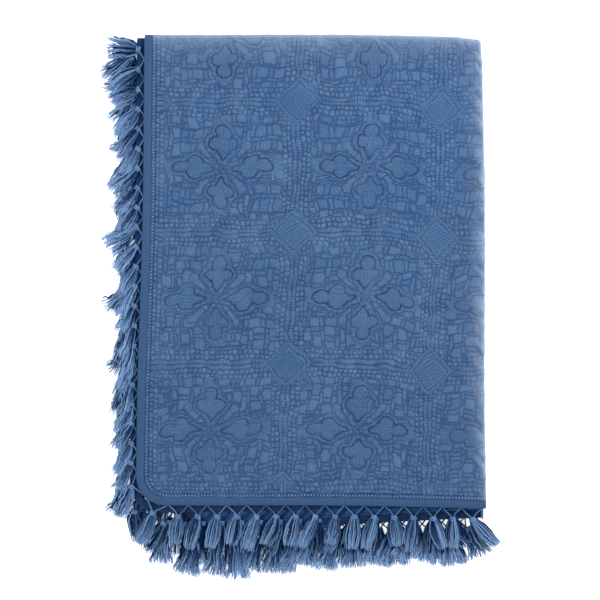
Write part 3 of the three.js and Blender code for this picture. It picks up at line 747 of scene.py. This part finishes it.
# %% Faces of the sheet
def cloth_mesh():
    fine_grid = np.meshgrid(across_fine, along_fine, indexing="ij")
    coarse_grid = np.meshgrid(across_coarse, along_coarse, indexing="ij")
    sides = [sheet_points(*fine_grid, True), sheet_points(*coarse_grid, True), sheet_points(*coarse_grid, False)]
    counts = [s[0][..., 0].size for s in sides]
    fine = np.arange(counts[0]).reshape(fine_grid[0].shape)
    show = np.arange(counts[1]).reshape(coarse_grid[0].shape) + counts[0]
    back = np.arange(counts[2]).reshape(coarse_grid[0].shape) + counts[0] + counts[1]
    show[np.ix_(range(len(across_kept)), range(len(along_kept)))] = fine[np.ix_(across_kept, along_kept)]
    last = (len(across_kept) - 1, len(along_kept) - 1)
    end = (len(across_coarse) - 1, len(along_coarse) - 1)

    def run_across(i, j):
        """Points of the show side from station i to the next across, on line j."""
        if j <= last[1] and i < last[0] and j in (0, last[1]):
            return list(fine[across_kept[i]:across_kept[i + 1] + 1, along_kept[j]])
        return [show[i, j], show[i + 1, j]]

    def run_along(i, j):
        if i <= last[0] and j < last[1] and i in (0, last[0]):
            return list(fine[across_kept[i], along_kept[j]:along_kept[j + 1] + 1])
        return [show[i, j], show[i, j + 1]]

    faces = np.stack([fine[:-1, :-1], fine[1:, :-1], fine[1:, 1:], fine[:-1, 1:]], axis=-1).reshape(-1, 4).tolist()
    for i in range(end[0]):
        for j in range(end[1]):
            faces.append([back[i, j], back[i, j + 1], back[i + 1, j + 1], back[i + 1, j]])
            if i >= last[0] or j >= last[1]:
                ring = run_across(i, j) + run_along(i + 1, j)[1:]
                ring += run_across(i, j + 1)[::-1][1:] + run_along(i, j)[::-1][1:-1]
                faces.append(ring)
    for i in range(end[0]):
        faces.append([back[i, 0], back[i + 1, 0]] + run_across(i, 0)[::-1])
        faces.append([back[i + 1, end[1]], back[i, end[1]]] + run_across(i, end[1]))
    for j in range(end[1]):
        faces.append([back[0, j + 1], back[0, j]] + run_along(0, j))
        faces.append([back[end[0], j], back[end[0], j + 1]] + run_along(end[0], j)[::-1])
    points = np.concatenate([made.reshape(-1, 3) for made, _ in sides])
    sewing = {key: np.concatenate([s[key].reshape(-1, *s[key].shape[2:]) for _, s in sides]) for key in sides[0][1]}
    return points, faces, sewing


# %% Make a mesh from arrays
def new_piece(name, points, faces, edges=(), **attributes):
    """An object at the origin with these points and faces; paired values become UV maps, and unused points go."""
    if len(faces):
        used, places = np.unique(np.concatenate([np.asarray(f) for f in faces]), return_inverse=True)
        sizes = [len(f) for f in faces]
        faces = [part.tolist() for part in np.split(places, np.cumsum(sizes)[:-1])]
        points = points[used]
        attributes = {k: v[used] for k, v in attributes.items()}
    mesh = bpy.data.meshes.new(name)
    mesh.from_pydata(points.tolist(), [tuple(e) for e in edges], faces)
    corners = np.zeros(len(mesh.loops), np.int32)
    mesh.loops.foreach_get("vertex_index", corners)
    for key, values in attributes.items():
        values = values.astype(np.float32)
        if values.ndim == 1:
            mesh.attributes.new(key, "FLOAT", "POINT").data.foreach_set("value", values)
        else:
            mesh.uv_layers.new(name=key).data.foreach_set("uv", values[corners].ravel())
    mesh.shade_smooth()
    piece = bpy.data.objects.new(name, mesh)
    bpy.context.scene.collection.objects.link(piece)
    return piece


points, faces, sewing = cloth_mesh()
quilt_cloth = new_piece("quilt_cloth", points, faces, **sewing)
quilt_cloth.data.materials.append(quilted_cotton)
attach(quilt_cloth, "root")
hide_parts("quilt")
quilt_cloth.data.calc_loop_triangles()
print("quilt_cloth:", len(quilt_cloth.data.loop_triangles), "triangles")

# %% [markdown]
# ## Geometry Nodes for what follows a path
# Tape, stitches and yarn all follow lines. The lines come from the edge's own rule as plain meshes of
# edges, and a node tree turns them into threads. A tree is built once with named inputs, each run sets
# them through the sockets' identifiers, and the result is stored as a plain mesh, because an exported
# model can't hold a live modifier.


# %% Build and run node trees
def new_tree(name, inputs):
    """A geometry node tree with named inputs; returns the tree and its inputs as wires."""
    tree = bpy.data.node_groups.new(name, "GeometryNodeTree")
    tree.interface.new_socket("Geometry", in_out="OUTPUT", socket_type="NodeSocketGeometry")
    tree.interface.new_socket("Geometry", in_out="INPUT", socket_type="NodeSocketGeometry")
    for label, kind in inputs.items():
        tree.interface.new_socket(label, in_out="INPUT", socket_type="NodeSocket" + kind)
    source = tree.nodes.new("NodeGroupInput")
    return tree, {s.name: Wire(tree, s) for s in source.outputs if s.name}


def end_tree(tree, made, material):
    """Ends a tree in smooth shading, real geometry and one material."""
    made = Wire.node(tree, "GeometryNodeSetShadeSmooth", {}, {"Geometry": made})
    made = Wire.node(tree, "GeometryNodeRealizeInstances", {}, {"Geometry": made})
    made = Wire.node(tree, "GeometryNodeSetMaterial", {}, {"Geometry": made, "Material": material})
    tree.links.new(made.socket, tree.nodes.new("NodeGroupOutput").inputs[0])
    print(f"{tree.name}: {len(tree.nodes)} nodes")


def run_tree(guide, tree, **values):
    """Runs a tree on a guide object and returns the result as a plain mesh under the guide's name."""
    modifier = guide.modifiers.new(tree.name, "NODES")
    modifier.node_group = tree
    for item in tree.interface.items_tree:
        key = item.name.replace(" ", "_").lower()
        if item.in_out == "INPUT" and key in values:
            modifier[item.identifier] = values[key]
    graph = bpy.context.evaluated_depsgraph_get()
    mesh = bpy.data.meshes.new_from_object(guide.evaluated_get(graph), preserve_all_data_layers=True, depsgraph=graph)
    name = guide.name
    bpy.data.objects.remove(guide)
    piece = bpy.data.objects.new(name, mesh)
    mesh.name = name
    bpy.context.scene.collection.objects.link(piece)
    mesh.calc_loop_triangles()
    print(f"{name}: {len(mesh.loop_triangles)} triangles")
    return piece


# %% Steps that the trees share
def named(tree, name):
    return Wire.node(tree, "GeometryNodeInputNamedAttribute", {"data_type": "FLOAT"}, {"Name": name})


def scaled(tree, vector, scale):
    return Wire.node(tree, "ShaderNodeVectorMath", {"operation": "SCALE"}, {0: vector, "Scale": scale})


def with_length(tree, lines):
    """Lines that carry the length along them as an attribute."""
    length = Wire.node(tree, "GeometryNodeSplineParameter", out="Length")
    return Wire.node(
        tree, "GeometryNodeStoreNamedAttribute", {"data_type": "FLOAT", "domain": "POINT"},
        {"Geometry": lines, "Name": "along", "Value": length})


# %% [markdown]
# ## The heading tape
# The fringe was woven onto a narrow ribbed tape, and the tape is sewn along the quilt's edge. A tape is a
# flat section carried along a path, so Curve to Mesh makes it, and its cross ribs are a small wave
# along its length that pushes the surface out.

# %% Path of the tape
HEADING = dict(gap=0.2, width=15.6, thickness=2.8, level=2.9, rounded=0.45)
# Below 0 the tape of the lower layers is darkened: painted shade under the top layer.
HEADING_TINT = dict(seen=0.85, hidden=-0.35)
HEADING_STEPS = dict(seen=4, hidden=1)
RIB_HEIGHT = dict(seen=0.4, hidden=0.0)
PATH_STEP = 4.0
TAIL = dict(turn=0.95 * math.pi / 2, points=5)


def edge_path(layer, out, height, thickness):
    """Points along a layer's free edge, out from it and over its lower face, with a tail round each fold."""
    edge = layer["edge"]
    turns = np.linspace(0, TAIL["turn"], TAIL["points"])[1:]
    along = np.linspace(0, edge.length, round(edge.length / PATH_STEP))
    middle = edge.at(along, out)
    main = stack_point(layer, middle[:, 0], middle[:, 1], height)
    at_hem = stack_point(layer, *edge.at(0.0, out), height, side_turn=turns[::-1])
    at_top = stack_point(layer, *edge.at(edge.length, out), height, top_turn=turns)
    return on_floor(np.concatenate([at_hem, main, at_top]), thickness / 2) * MM


def path_guide(kind, layer, points, tint):
    """A guide object of one line, with one tint."""
    edges = [(k, k + 1) for k in range(len(points) - 1)]
    return new_piece(f"{kind}_{layer['number']}", points, [], edges, tint=np.full(len(points), tint))


# %% The tape tree
tape_tree, given = new_tree("heading tape", {
    "Tape Width": "Float", "Tape Thickness": "Float", "Rib Pitch": "Float", "Rib Height": "Float", "Step": "Float",
    "Material": "Material"})
path = Wire.node(tape_tree, "GeometryNodeMeshToCurve", {}, {"Mesh": given["Geometry"]})
path = Wire.node(
    tape_tree, "GeometryNodeResampleCurve", {"mode": "LENGTH"}, {"Curve": path, "Length": given["Step"]})
path = Wire.node(tape_tree, "GeometryNodeSetCurveNormal", {"mode": "Z_UP"}, {"Curve": path})
path = with_length(tape_tree, path)
section = Wire.node(
    tape_tree, "GeometryNodeCurvePrimitiveQuadrilateral", {},
    {"Width": given["Tape Width"], "Height": given["Tape Thickness"]})
section = Wire.node(
    tape_tree, "GeometryNodeFilletCurve", {"mode": "POLY"},
    {"Curve": section, "Count": 2, "Radius": given["Tape Thickness"] * HEADING["rounded"]})
tape = Wire.node(
    tape_tree, "GeometryNodeCurveToMesh", {}, {"Curve": path, "Profile Curve": section, "Fill Caps": True})
rib = np.sin(named(tape_tree, "along") * (math.tau / given["Rib Pitch"])) * given["Rib Height"]
lifted = scaled(tape_tree, Wire.node(tape_tree, "GeometryNodeInputNormal"), rib)
tape = Wire.node(tape_tree, "GeometryNodeSetPosition", {}, {"Geometry": tape, "Offset": lifted})
end_tree(tape_tree, tape, given["Material"])

# %% Lay the tapes
headings = []
for layer in LAYERS:
    look, ribs = layer["look"], RIB_HEIGHT["seen"]
    points = edge_path(
        layer, HEADING["gap"] + HEADING["width"] / 2, HEADING["level"], HEADING["thickness"] + 2 * ribs)
    headings.append(run_tree(
        path_guide("heading", layer, points, HEADING_TINT[look]), tape_tree,
        tape_width=HEADING["width"] * MM, tape_thickness=HEADING["thickness"] * MM, rib_pitch=RIB_PITCH * MM,
        rib_height=RIB_HEIGHT[look] * MM, step=RIB_PITCH * MM / HEADING_STEPS[look], material=heading_cotton))

# %% [markdown]
# ## The edge stitches
# A row of machine stitches beside the tape's inner edge holds tape and hem. A second row is a sewn line in the
# cotton's material. Drawing both that way would leave the first one flat, and it is the thicker thread. Each
# stitch is a short bead of thread that sinks at both ends, so one low bead is set along the path again and
# again, turned to follow it.

# %% The stitch tree
STITCH = dict(length=3.4, width=3.0, height=2.2, pitch=6.1, level=THICKNESS + 0.5, uneven=(0.8, 1.2))
# The lower layers' stitches are darkened: painted shade.
STITCH_TINT = dict(seen=1.0, hidden=-0.8)

stitch_tree, given = new_tree("edge stitches", {
    "Stitch Pitch": "Float", "Stitch Size": "Vector", "Seed": "Int", "Material": "Material"})
path = Wire.node(stitch_tree, "GeometryNodeMeshToCurve", {}, {"Mesh": given["Geometry"]})
path = Wire.node(stitch_tree, "GeometryNodeSetCurveNormal", {"mode": "Z_UP"}, {"Curve": path})
spots = Wire.node(
    stitch_tree, "GeometryNodeCurveToPoints", {"mode": "LENGTH"}, {"Curve": path, "Length": given["Stitch Pitch"]})
turned = Wire(stitch_tree, spots.socket.node.outputs["Rotation"])
bead = Wire.node(stitch_tree, "GeometryNodeMeshIcoSphere", {}, {"Radius": 0.5, "Subdivisions": 1})
uneven = Wire.node(
    stitch_tree, "FunctionNodeRandomValue", {"data_type": "FLOAT"},
    {2: STITCH["uneven"][0], 3: STITCH["uneven"][1], "Seed": given["Seed"]}, out=1)
beads = Wire.node(
    stitch_tree, "GeometryNodeInstanceOnPoints", {},
    {"Points": spots, "Instance": bead, "Rotation": turned,
     "Scale": scaled(stitch_tree, given["Stitch Size"], uneven)})
end_tree(stitch_tree, beads, given["Material"])

# %% Sew the row
stitches = []
for layer in LAYERS:
    points = edge_path(layer, -HEM_ROWS[0]["inset"], STITCH["level"], STITCH["height"])
    stitches.append(run_tree(
        path_guide("stitches", layer, points, STITCH_TINT[layer["look"]]), stitch_tree,
        stitch_pitch=STITCH["pitch"] * MM, seed=layer["number"], material=stitch_thread,
        stitch_size=[STITCH[k] * MM for k in ("height", "width", "length")]))

# %% [markdown]
# ## The tassels
# Cords run in a zigzag from the tape to knots, and below each knot hangs a skirt of plied yarns, bound
# with a few turns of yarn. A skirt modelled as one body looks like a leaf, so every yarn is a line of its
# own: it leaves the knot, swells outwards, and hangs loose at the tip. The node tree gives the lines
# their thickness and a little frizz.

# %% Sizes of the fringe
FRINGE = dict(pitch=37.0, length=66.0, half_width=14.5, edge_on=0.55, spread=0.09, fan=0.35, seed=40)
KNOT_OUT = dict(hem=35.8, side=25.8)
CORD_OUT = dict(apex=14.5, end=16.0)
FRINGES = [
    dict(lead=2, tail=1, low=18, mid=54, high=112),
    dict(lead=3, tail=14, low=8, mid=36, high=60),
    dict(lead=9, tail=8, low=20, mid=34, high=70),
    dict(lead=29, tail=20, low=18, mid=36, high=60),
]
# Shade and fade tint the yarns. Shades below 0 on the hems of layers 2 to 4 are painted shadow under the layers
# above; fade darkens each yarn at its root, painted shade, and lightens it towards its tip.
YARNS = [
    dict(layer=1, side="hem", yarns=62, splay=0.68, shade=0.15, fade=0.3, thick=1.05, strands=0.8, loose=0.6),
    dict(layer=1, side="left", yarns=62, splay=1.2, shade=0.15, fade=0.8, thick=1.05, strands=0.8, loose=1.15),
    dict(layer=2, side="hem", yarns=30, splay=0.8, shade=-0.6, fade=0.15, thick=1.1, strands=0.8, loose=0.9),
    dict(layer=2, side="left", yarns=24, splay=1.4, shade=0.0, fade=0.6, thick=1.2, strands=0.8, loose=1.2),
    dict(layer=3, side="hem", yarns=60, splay=1.7, shade=-0.2, fade=0.8, thick=1.35, strands=0.55, loose=0.9),
    dict(layer=3, side="left", yarns=26, splay=1.3, shade=0.1, fade=0.6, thick=1.2, strands=0.8, loose=1.0),
    dict(layer=4, side="hem", yarns=54, splay=1.7, shade=-0.2, fade=0.8, thick=1.35, strands=0.55, loose=0.9),
    dict(layer=4, side="left", yarns=24, splay=1.3, shade=0.1, fade=0.6, thick=1.2, strands=0.8, loose=1.0),
]
SWING = dict(fold=-34.0, fold_reach=95.0, hem=8.0, spreading=16.0, spread=3.0, uneven=0.18)
WAVE_PACE = dict(swing=0.8, length=2.3, layer=1.7)
for layer, fringe in zip(LAYERS, FRINGES):
    layer.update(fringe)


def wave(layer, count, pace):
    return math.sin(count * pace + layer["number"] * WAVE_PACE["layer"])


def tassel_swing(layer, along, count):
    """The lean of a tassel, from straight down the picture towards the left, in radians."""
    edge = layer["edge"]
    on_hem = SWING["fold"] + (SWING["hem"] - SWING["fold"]) * smooth(along, 0, SWING["fold_reach"])
    on_arc = np.clip((along - edge.hem) / edge.arc, 0, 1)
    on_side = np.clip((along - edge.hem - edge.arc) / edge.side, 0, 1)
    lean = on_hem + (layer["low"] - on_hem) * on_arc + (layer["mid"] - layer["low"]) * on_side
    lean += (layer["high"] - layer["mid"]) * on_side ** SWING["spreading"]
    return math.radians(lean + SWING["spread"] * wave(layer, count, WAVE_PACE["swing"]))


def hanging(lean):
    """Unit steps in plan down a leaning tassel and across it."""
    down = np.array([-math.sin(lean), -math.cos(lean)])
    return down, np.array([down[1], -down[0]])


# %% Yarns of a skirt
# A core of thick dark yarns inside each skirt: painted shadow, so that the gaps between the yarns look dark.
SHADOW_CORE = dict(yarns=7, radius=2.7, span=0.75, reach=0.84, tint=-1.0)
YARN_POINTS = (16, 12, 15, 15)
YARN_REACH = dict(middle=0.965, spread=0.085)
YARN_THIN = dict(taper=0.5, uneven=(0.85, 1.12))
YARN_STRAY = dict(side=0.1, curl=1.8, curl_turns=(5, 8), curl_shift=1.1, kink=0.9, kink_turns=(17, 27), all=1.8)
# One weight here darkens the yarns that lie deeper in a skirt: painted shade.
SKIRT = dict(start=-3.0, sway=4.2, rounded=0.85, level=0.6, shingle=4.0, deeper_shade=0.9)
SKIRT_WIDTH = [(0.0, 0.32), (0.12, 0.52), (0.36, 0.92), (0.6, 1.0)]
SKIRT_DEPTH = [(0.0, 4.4), (0.4, 7.0), (0.75, 5.6), (1.0, 3.4)]


def profile(table, share):
    return np.interp(share, [row[0] for row in table], [row[1] for row in table])


def strays(share, side, each, rng):
    """How far yarns stray sideways towards their tips, in mm: a curl for all, and kinks and a lean for each."""
    s = YARN_STRAY
    curl = np.sin(share * rng.uniform(*s["curl_turns"]) + rng.uniform(0, math.tau) + s["curl_shift"] * side)
    kink = np.sin(share * rng.uniform(*s["kink_turns"], each) + rng.uniform(0, math.tau, each))
    return s["curl"] * curl + rng.normal(0, s["kink"], each) * kink + rng.normal(0, s["all"], each)


def skirt(layer, kind, tassel, rng):
    """Lines of the yarns below a knot: points in mm, with thickness, tint, tip and looseness."""
    count = SHADOW_CORE["yarns"] + kind["yarns"]
    each = (count, 1)
    shadow_core = (np.arange(count) < SHADOW_CORE["yarns"])[:, None]
    share = np.linspace(0, 1, YARN_POINTS[layer["number"] - 1])[None, :]
    side = [np.linspace(-SHADOW_CORE["span"], SHADOW_CORE["span"], SHADOW_CORE["yarns"]), np.linspace(-1, 1, kind["yarns"])]
    side = (np.concatenate(side) + rng.normal(0, YARN_STRAY["side"], count)).clip(-1, 1)[:, None]
    level = np.where(shadow_core, 0, rng.permutation(np.linspace(0, 1, count))[:, None])
    reach = YARN_REACH["middle"] + YARN_REACH["spread"] * kind["loose"] * rng.uniform(-1, 1, each)
    reach = tassel["length"] * np.where(shadow_core, SHADOW_CORE["reach"], reach)
    stray = strays(share, side, each, rng) * kind["loose"]
    width = tassel["half_width"] * profile([*SKIRT_WIDTH, (1.0, kind["splay"])], share)
    across = side * width + share * stray + rng.normal(0, SKIRT["sway"]) * share**2
    step_down, step_across = hanging(tassel["lean"])
    plan = tassel["knot"] + (SKIRT["start"] + reach * share)[..., None] * step_down + across[..., None] * step_across
    rounded = np.sqrt(1 - SKIRT["rounded"] * side**2)
    height = SKIRT["level"] + level * rounded * profile(SKIRT_DEPTH, share)
    height = height + tassel["shingle"] * SKIRT["shingle"] * share**1.5
    thick = np.where(shadow_core, SHADOW_CORE["radius"], kind["thick"]) * (1 - YARN_THIN["taper"] * share**4)
    thick = thick * rng.uniform(*YARN_THIN["uneven"], each)
    points = on_floor(stack_point(layer, plan[..., 0], plan[..., 1], height), thick)
    # A yarn's tint: a random tone, darker deeper in the skirt as painted shade, and along it the painted root shade
    # and the lighter tip.
    tint = rng.normal(kind["shade"], kind["strands"], each) + SKIRT["deeper_shade"] * (level - 0.5)
    tint = np.where(shadow_core, SHADOW_CORE["tint"], tint + kind["fade"] * (2 * share - 1))
    return points, dict(thick=thick, tint=tint, tip=np.where(shadow_core, 0, share**3), loose=share * kind["loose"])


# %% Bindings and cords
BINDING = dict(
    radius=1.4, turns=2.7, points=30, start=-2.0, end=5.5, across=5.3, level=3.1, rise=2.6, tint=(0.5, 0.9), tip=0.3)
CORD = dict(radius=1.7, level=2.2, uneven=0.2, tip=0.1)
# The lower layers' cords are darkened: painted shade.
CORD_TINT = dict(seen=0.3, hidden=-0.7)
# Shares of the first knot, the tape's edge and the second knot, then the bow and the rise in mm.
CORD_POINTS = np.array([
    (1.0, 0.0, 0.0, 0.0, 0.8),
    (0.5, 0.5, 0.0, 1.2, 0.5),
    (0.03, 0.94, 0.03, 0.5, 0.4),
    (0.0, 1.0, 0.0, 0.0, 0.2),
    (0.0, 0.94, 0.06, 0.5, 0.4),
    (0.0, 0.5, 0.5, 1.2, 0.5),
    (0.0, 0.0, 1.0, 0.0, 0.8),
])


def even_line(points, kind, tint):
    """One line of even yarn, raised off the floor, with the attributes of a kind of yarn."""
    return on_floor(points, kind["radius"])[None], dict(thick=kind["radius"], tint=tint, tip=kind["tip"], loose=0.0)


def binding(layer, tassel, rng):
    """A few turns of yarn round the top of a skirt."""
    b = BINDING
    turn = np.linspace(0, b["turns"] * math.tau, b["points"])
    step_down, step_across = hanging(tassel["lean"])
    plan = tassel["knot"] + np.linspace(b["start"], b["end"], b["points"])[:, None] * step_down
    plan = plan + (b["across"] * np.cos(turn))[:, None] * step_across
    points = stack_point(layer, plan[:, 0], plan[:, 1], b["level"] + b["rise"] * np.sin(turn))
    return even_line(points, b, rng.uniform(*b["tint"]))


def cord(layer, first, apex, second, rng):
    """The cord from one knot up to the tape's edge and down to the next knot."""
    plan = CORD_POINTS[:, :3] @ np.array([first, apex, second])
    bow, rise = CORD_POINTS[:, 3:].T
    points = stack_point(layer, plan[:, 0] + bow * rng.normal(0, 1), plan[:, 1], CORD["level"] + rise)
    return even_line(points, CORD, CORD_TINT[layer["look"]] + rng.uniform(-CORD["uneven"], CORD["uneven"]))


# %% Every run of the fringe
def fringe_lines(layer, rng):
    """The yarn lines of a layer's hem run and left run."""
    edge = layer["edge"]
    run_length = edge.length - layer["lead"] - layer["tail"]
    tassel_count = round(run_length / FRINGE["pitch"])
    pitch = run_length / tassel_count
    starts = layer["lead"] + pitch * np.arange(tassel_count)
    corner_cell = round((edge.hem + edge.arc / 2 - layer["lead"]) / pitch)
    on_arc = np.clip((starts + pitch / 2 - edge.hem) / edge.arc, 0, 1)
    knots = edge.at(starts + pitch / 2, KNOT_OUT["hem"] + (KNOT_OUT["side"] - KNOT_OUT["hem"]) * on_arc)
    runs = {"hem": [], "left": []}
    print(f"layer {layer['number']}: {tassel_count} tassels, {pitch:.1f} mm apart")
    for count, start in enumerate(starts):
        side = "hem" if count < corner_cell else "left"
        kind = next(row for row in YARNS if (row["layer"], row["side"]) == (layer["number"], side))
        middle = start + pitch / 2
        by_top = (middle / edge.length) ** SWING["spreading"]
        lean = tassel_swing(layer, middle, count) + rng.normal(0, SWING["uneven"]) * (1 - by_top)
        facing = abs(hanging(lean)[0] @ edge.outwards(middle))
        width = FRINGE["edge_on"] + (1 - FRINGE["edge_on"]) * facing
        tassel = dict(
            knot=knots[count], lean=lean, shingle=1 - facing,
            half_width=FRINGE["half_width"] * width * (1 + FRINGE["fan"] * by_top),
            length=FRINGE["length"] * (1 + FRINGE["spread"] * wave(layer, count, WAVE_PACE["length"])))
        end = knots[0] + edge.at(start, CORD_OUT["end"]) - edge.at(middle, CORD_OUT["end"])
        before = knots[count - 1] if count else end
        runs[side].append(skirt(layer, kind, tassel, rng))
        runs[side].append(binding(layer, tassel, rng))
        runs[side].append(cord(layer, before, edge.at(start, CORD_OUT["apex"]), knots[count], rng))
    return runs


def joined(run):
    """One set of points, edges and attributes from many sets of lines."""
    points, edges, start = [], [], 0
    values = {k: [] for k in ("thick", "tint", "tip", "loose")}
    for lines, given in run:
        rows, columns = lines.shape[:2]
        index = start + np.arange(rows * columns).reshape(rows, columns)
        edges.append(np.stack([index[:, :-1].ravel(), index[:, 1:].ravel()], axis=-1))
        points.append(lines.reshape(-1, 3))
        for key in values:
            values[key].append(np.broadcast_to(given[key], lines.shape[:2]).ravel())
        start += rows * columns
    return np.concatenate(points) * MM, np.concatenate(edges), {k: np.concatenate(v) for k, v in values.items()}


# %% The yarn tree
FRIZZ = dict(sides=3, frizz=0.007, frizz_scale=85.0)

yarn_tree, given = new_tree("fringe yarns", {
    "Sides": "Int", "Frizz": "Float", "Frizz Scale": "Float", "Seed": "Float", "Material": "Material"})
lines = Wire.node(yarn_tree, "GeometryNodeMeshToCurve", {}, {"Mesh": given["Geometry"]})
lines = with_length(yarn_tree, lines)
place = Wire.node(yarn_tree, "GeometryNodeInputPosition")
cloud = Wire.node(
    yarn_tree, "ShaderNodeTexNoise", {"noise_dimensions": "4D"},
    {"Vector": place, "W": given["Seed"], "Scale": given["Frizz Scale"], "Detail": 1.0}, out="Color")
shift = Wire.node(yarn_tree, "ShaderNodeVectorMath", {"operation": "SUBTRACT"}, {0: cloud, 1: (0.5, 0.5, 0.5)})
shift = Wire.node(yarn_tree, "ShaderNodeVectorMath", {"operation": "MULTIPLY"}, {0: shift, 1: (1, 1, 0)})
shift = scaled(yarn_tree, shift, named(yarn_tree, "loose") * given["Frizz"])
lines = Wire.node(yarn_tree, "GeometryNodeSetPosition", {}, {"Geometry": lines, "Offset": shift})
section = Wire.node(yarn_tree, "GeometryNodeCurvePrimitiveCircle", {}, {"Resolution": given["Sides"], "Radius": MM})
yarns = Wire.node(
    yarn_tree, "GeometryNodeCurveToMesh", {},
    {"Curve": lines, "Profile Curve": section, "Scale": named(yarn_tree, "thick"), "Fill Caps": True})
end_tree(yarn_tree, yarns, given["Material"])

# %% Make the fringe
for layer in LAYERS:
    rng = np.random.default_rng(FRINGE["seed"] + layer["number"])
    for side, run in fringe_lines(layer, rng).items():
        points, edges, values = joined(run)
        guide = new_piece(f"tassels_{side}_{layer['number']}", points, [], edges.tolist(), **values)
        piece = run_tree(guide, yarn_tree, seed=float(layer["number"]), material=fringe_yarn, **FRIZZ)
        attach(piece, "root")
        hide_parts(f"fringe_{side}_{layer['number']}")

for piece in headings + stitches:
    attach(piece, "root")
for piece in headings:
    number = piece.name.split("_")[-1]
    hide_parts(f"fringe_hem_{number}", f"fringe_left_{number}")

# %% [markdown]
# ## Floor, light and camera
# The photograph looks straight down on the folded quilt, which lies on white. So the floor is plain and
# pale, the light is broad and soft, and the camera hangs over the middle of the stack. A low light from the
# right catches the round of the side fold.

# %% Floor
FLOOR_HALF = 25.0
FLOOR_DROP = 0.0004
FLOOR_GLOW = 0.75
floor_white, tree, shader = new_material("floor_white", Roughness=0.9, Specular_IOR_Level=0.1)
place = Wire.node(tree, "ShaderNodeTexCoord", out="Object")
pale = mix(tree, noise(tree, place, 3.0) * 0.3, linear(250, 250, 250), linear(246, 246, 247))
tree.links.new(pale.socket, shader.inputs["Base Color"])
shader.inputs["Emission Color"].default_value = (1, 1, 1, 1)
shader.inputs["Emission Strength"].default_value = FLOOR_GLOW
corners = [(x * FLOOR_HALF, y * FLOOR_HALF, -FLOOR_DROP) for x, y in ((-1, -1), (1, -1), (1, 1), (-1, 1))]
floor = new_piece("floor", np.array(corners), [[0, 1, 2, 3]])
floor.data.materials.append(floor_white)
print("floor:", 2 * FLOOR_HALF, "m square")

# %% Lights
AIM = np.array([0, -0.05, 0])
WORLD_LIGHT = 0.36
LIGHTS = [
    dict(name="key", place=(1.7, 1.5, 1.7), size=1.4, power=58),
    dict(name="fill", place=(-1.7, 0.1, 2.0), size=1.8, power=34),
    dict(name="right_rim", place=(2.2, 0.0, 0.35), size=1.0, power=12),
]
for row in LIGHTS:
    lamp = bpy.data.lights.new(row["name"], "AREA")
    lamp.shape, lamp.size, lamp.energy = "DISK", row["size"], row["power"]
    light = bpy.data.objects.new(row["name"], lamp)
    light.location = row["place"]
    aim = AIM - np.array(row["place"])
    light.rotation_euler = (math.acos(-aim[2] / np.linalg.norm(aim)), 0, math.atan2(aim[1], aim[0]) - math.pi / 2)
    bpy.context.scene.collection.objects.link(light)
    print(f"{row['name']}: {row['power']} W, {row['size']} m across")

world = bpy.data.worlds.new("studio")
world.use_nodes = True
world.node_tree.nodes["Background"].inputs["Color"].default_value = (1, 1, 1, 1)
world.node_tree.nodes["Background"].inputs["Strength"].default_value = WORLD_LIGHT
bpy.context.scene.world = world
bpy.context.scene.view_settings.view_transform = "Standard"

# %% Camera
VIEW_WIDTH = 1.14
LENS = 85.0
SENSOR = 36.0
VIEW_CENTRE = (-0.0247, -0.057)
STACK_TOP = 0.024
camera = bpy.data.objects.new("camera", bpy.data.cameras.new("camera"))
camera.data.lens, camera.data.sensor_width = LENS, SENSOR
camera.location = (*VIEW_CENTRE, STACK_TOP + VIEW_WIDTH * LENS / SENSOR)
bpy.context.scene.collection.objects.link(camera)
bpy.context.scene.camera = camera
print(f"camera: {camera.location.z:.2f} m over the floor")
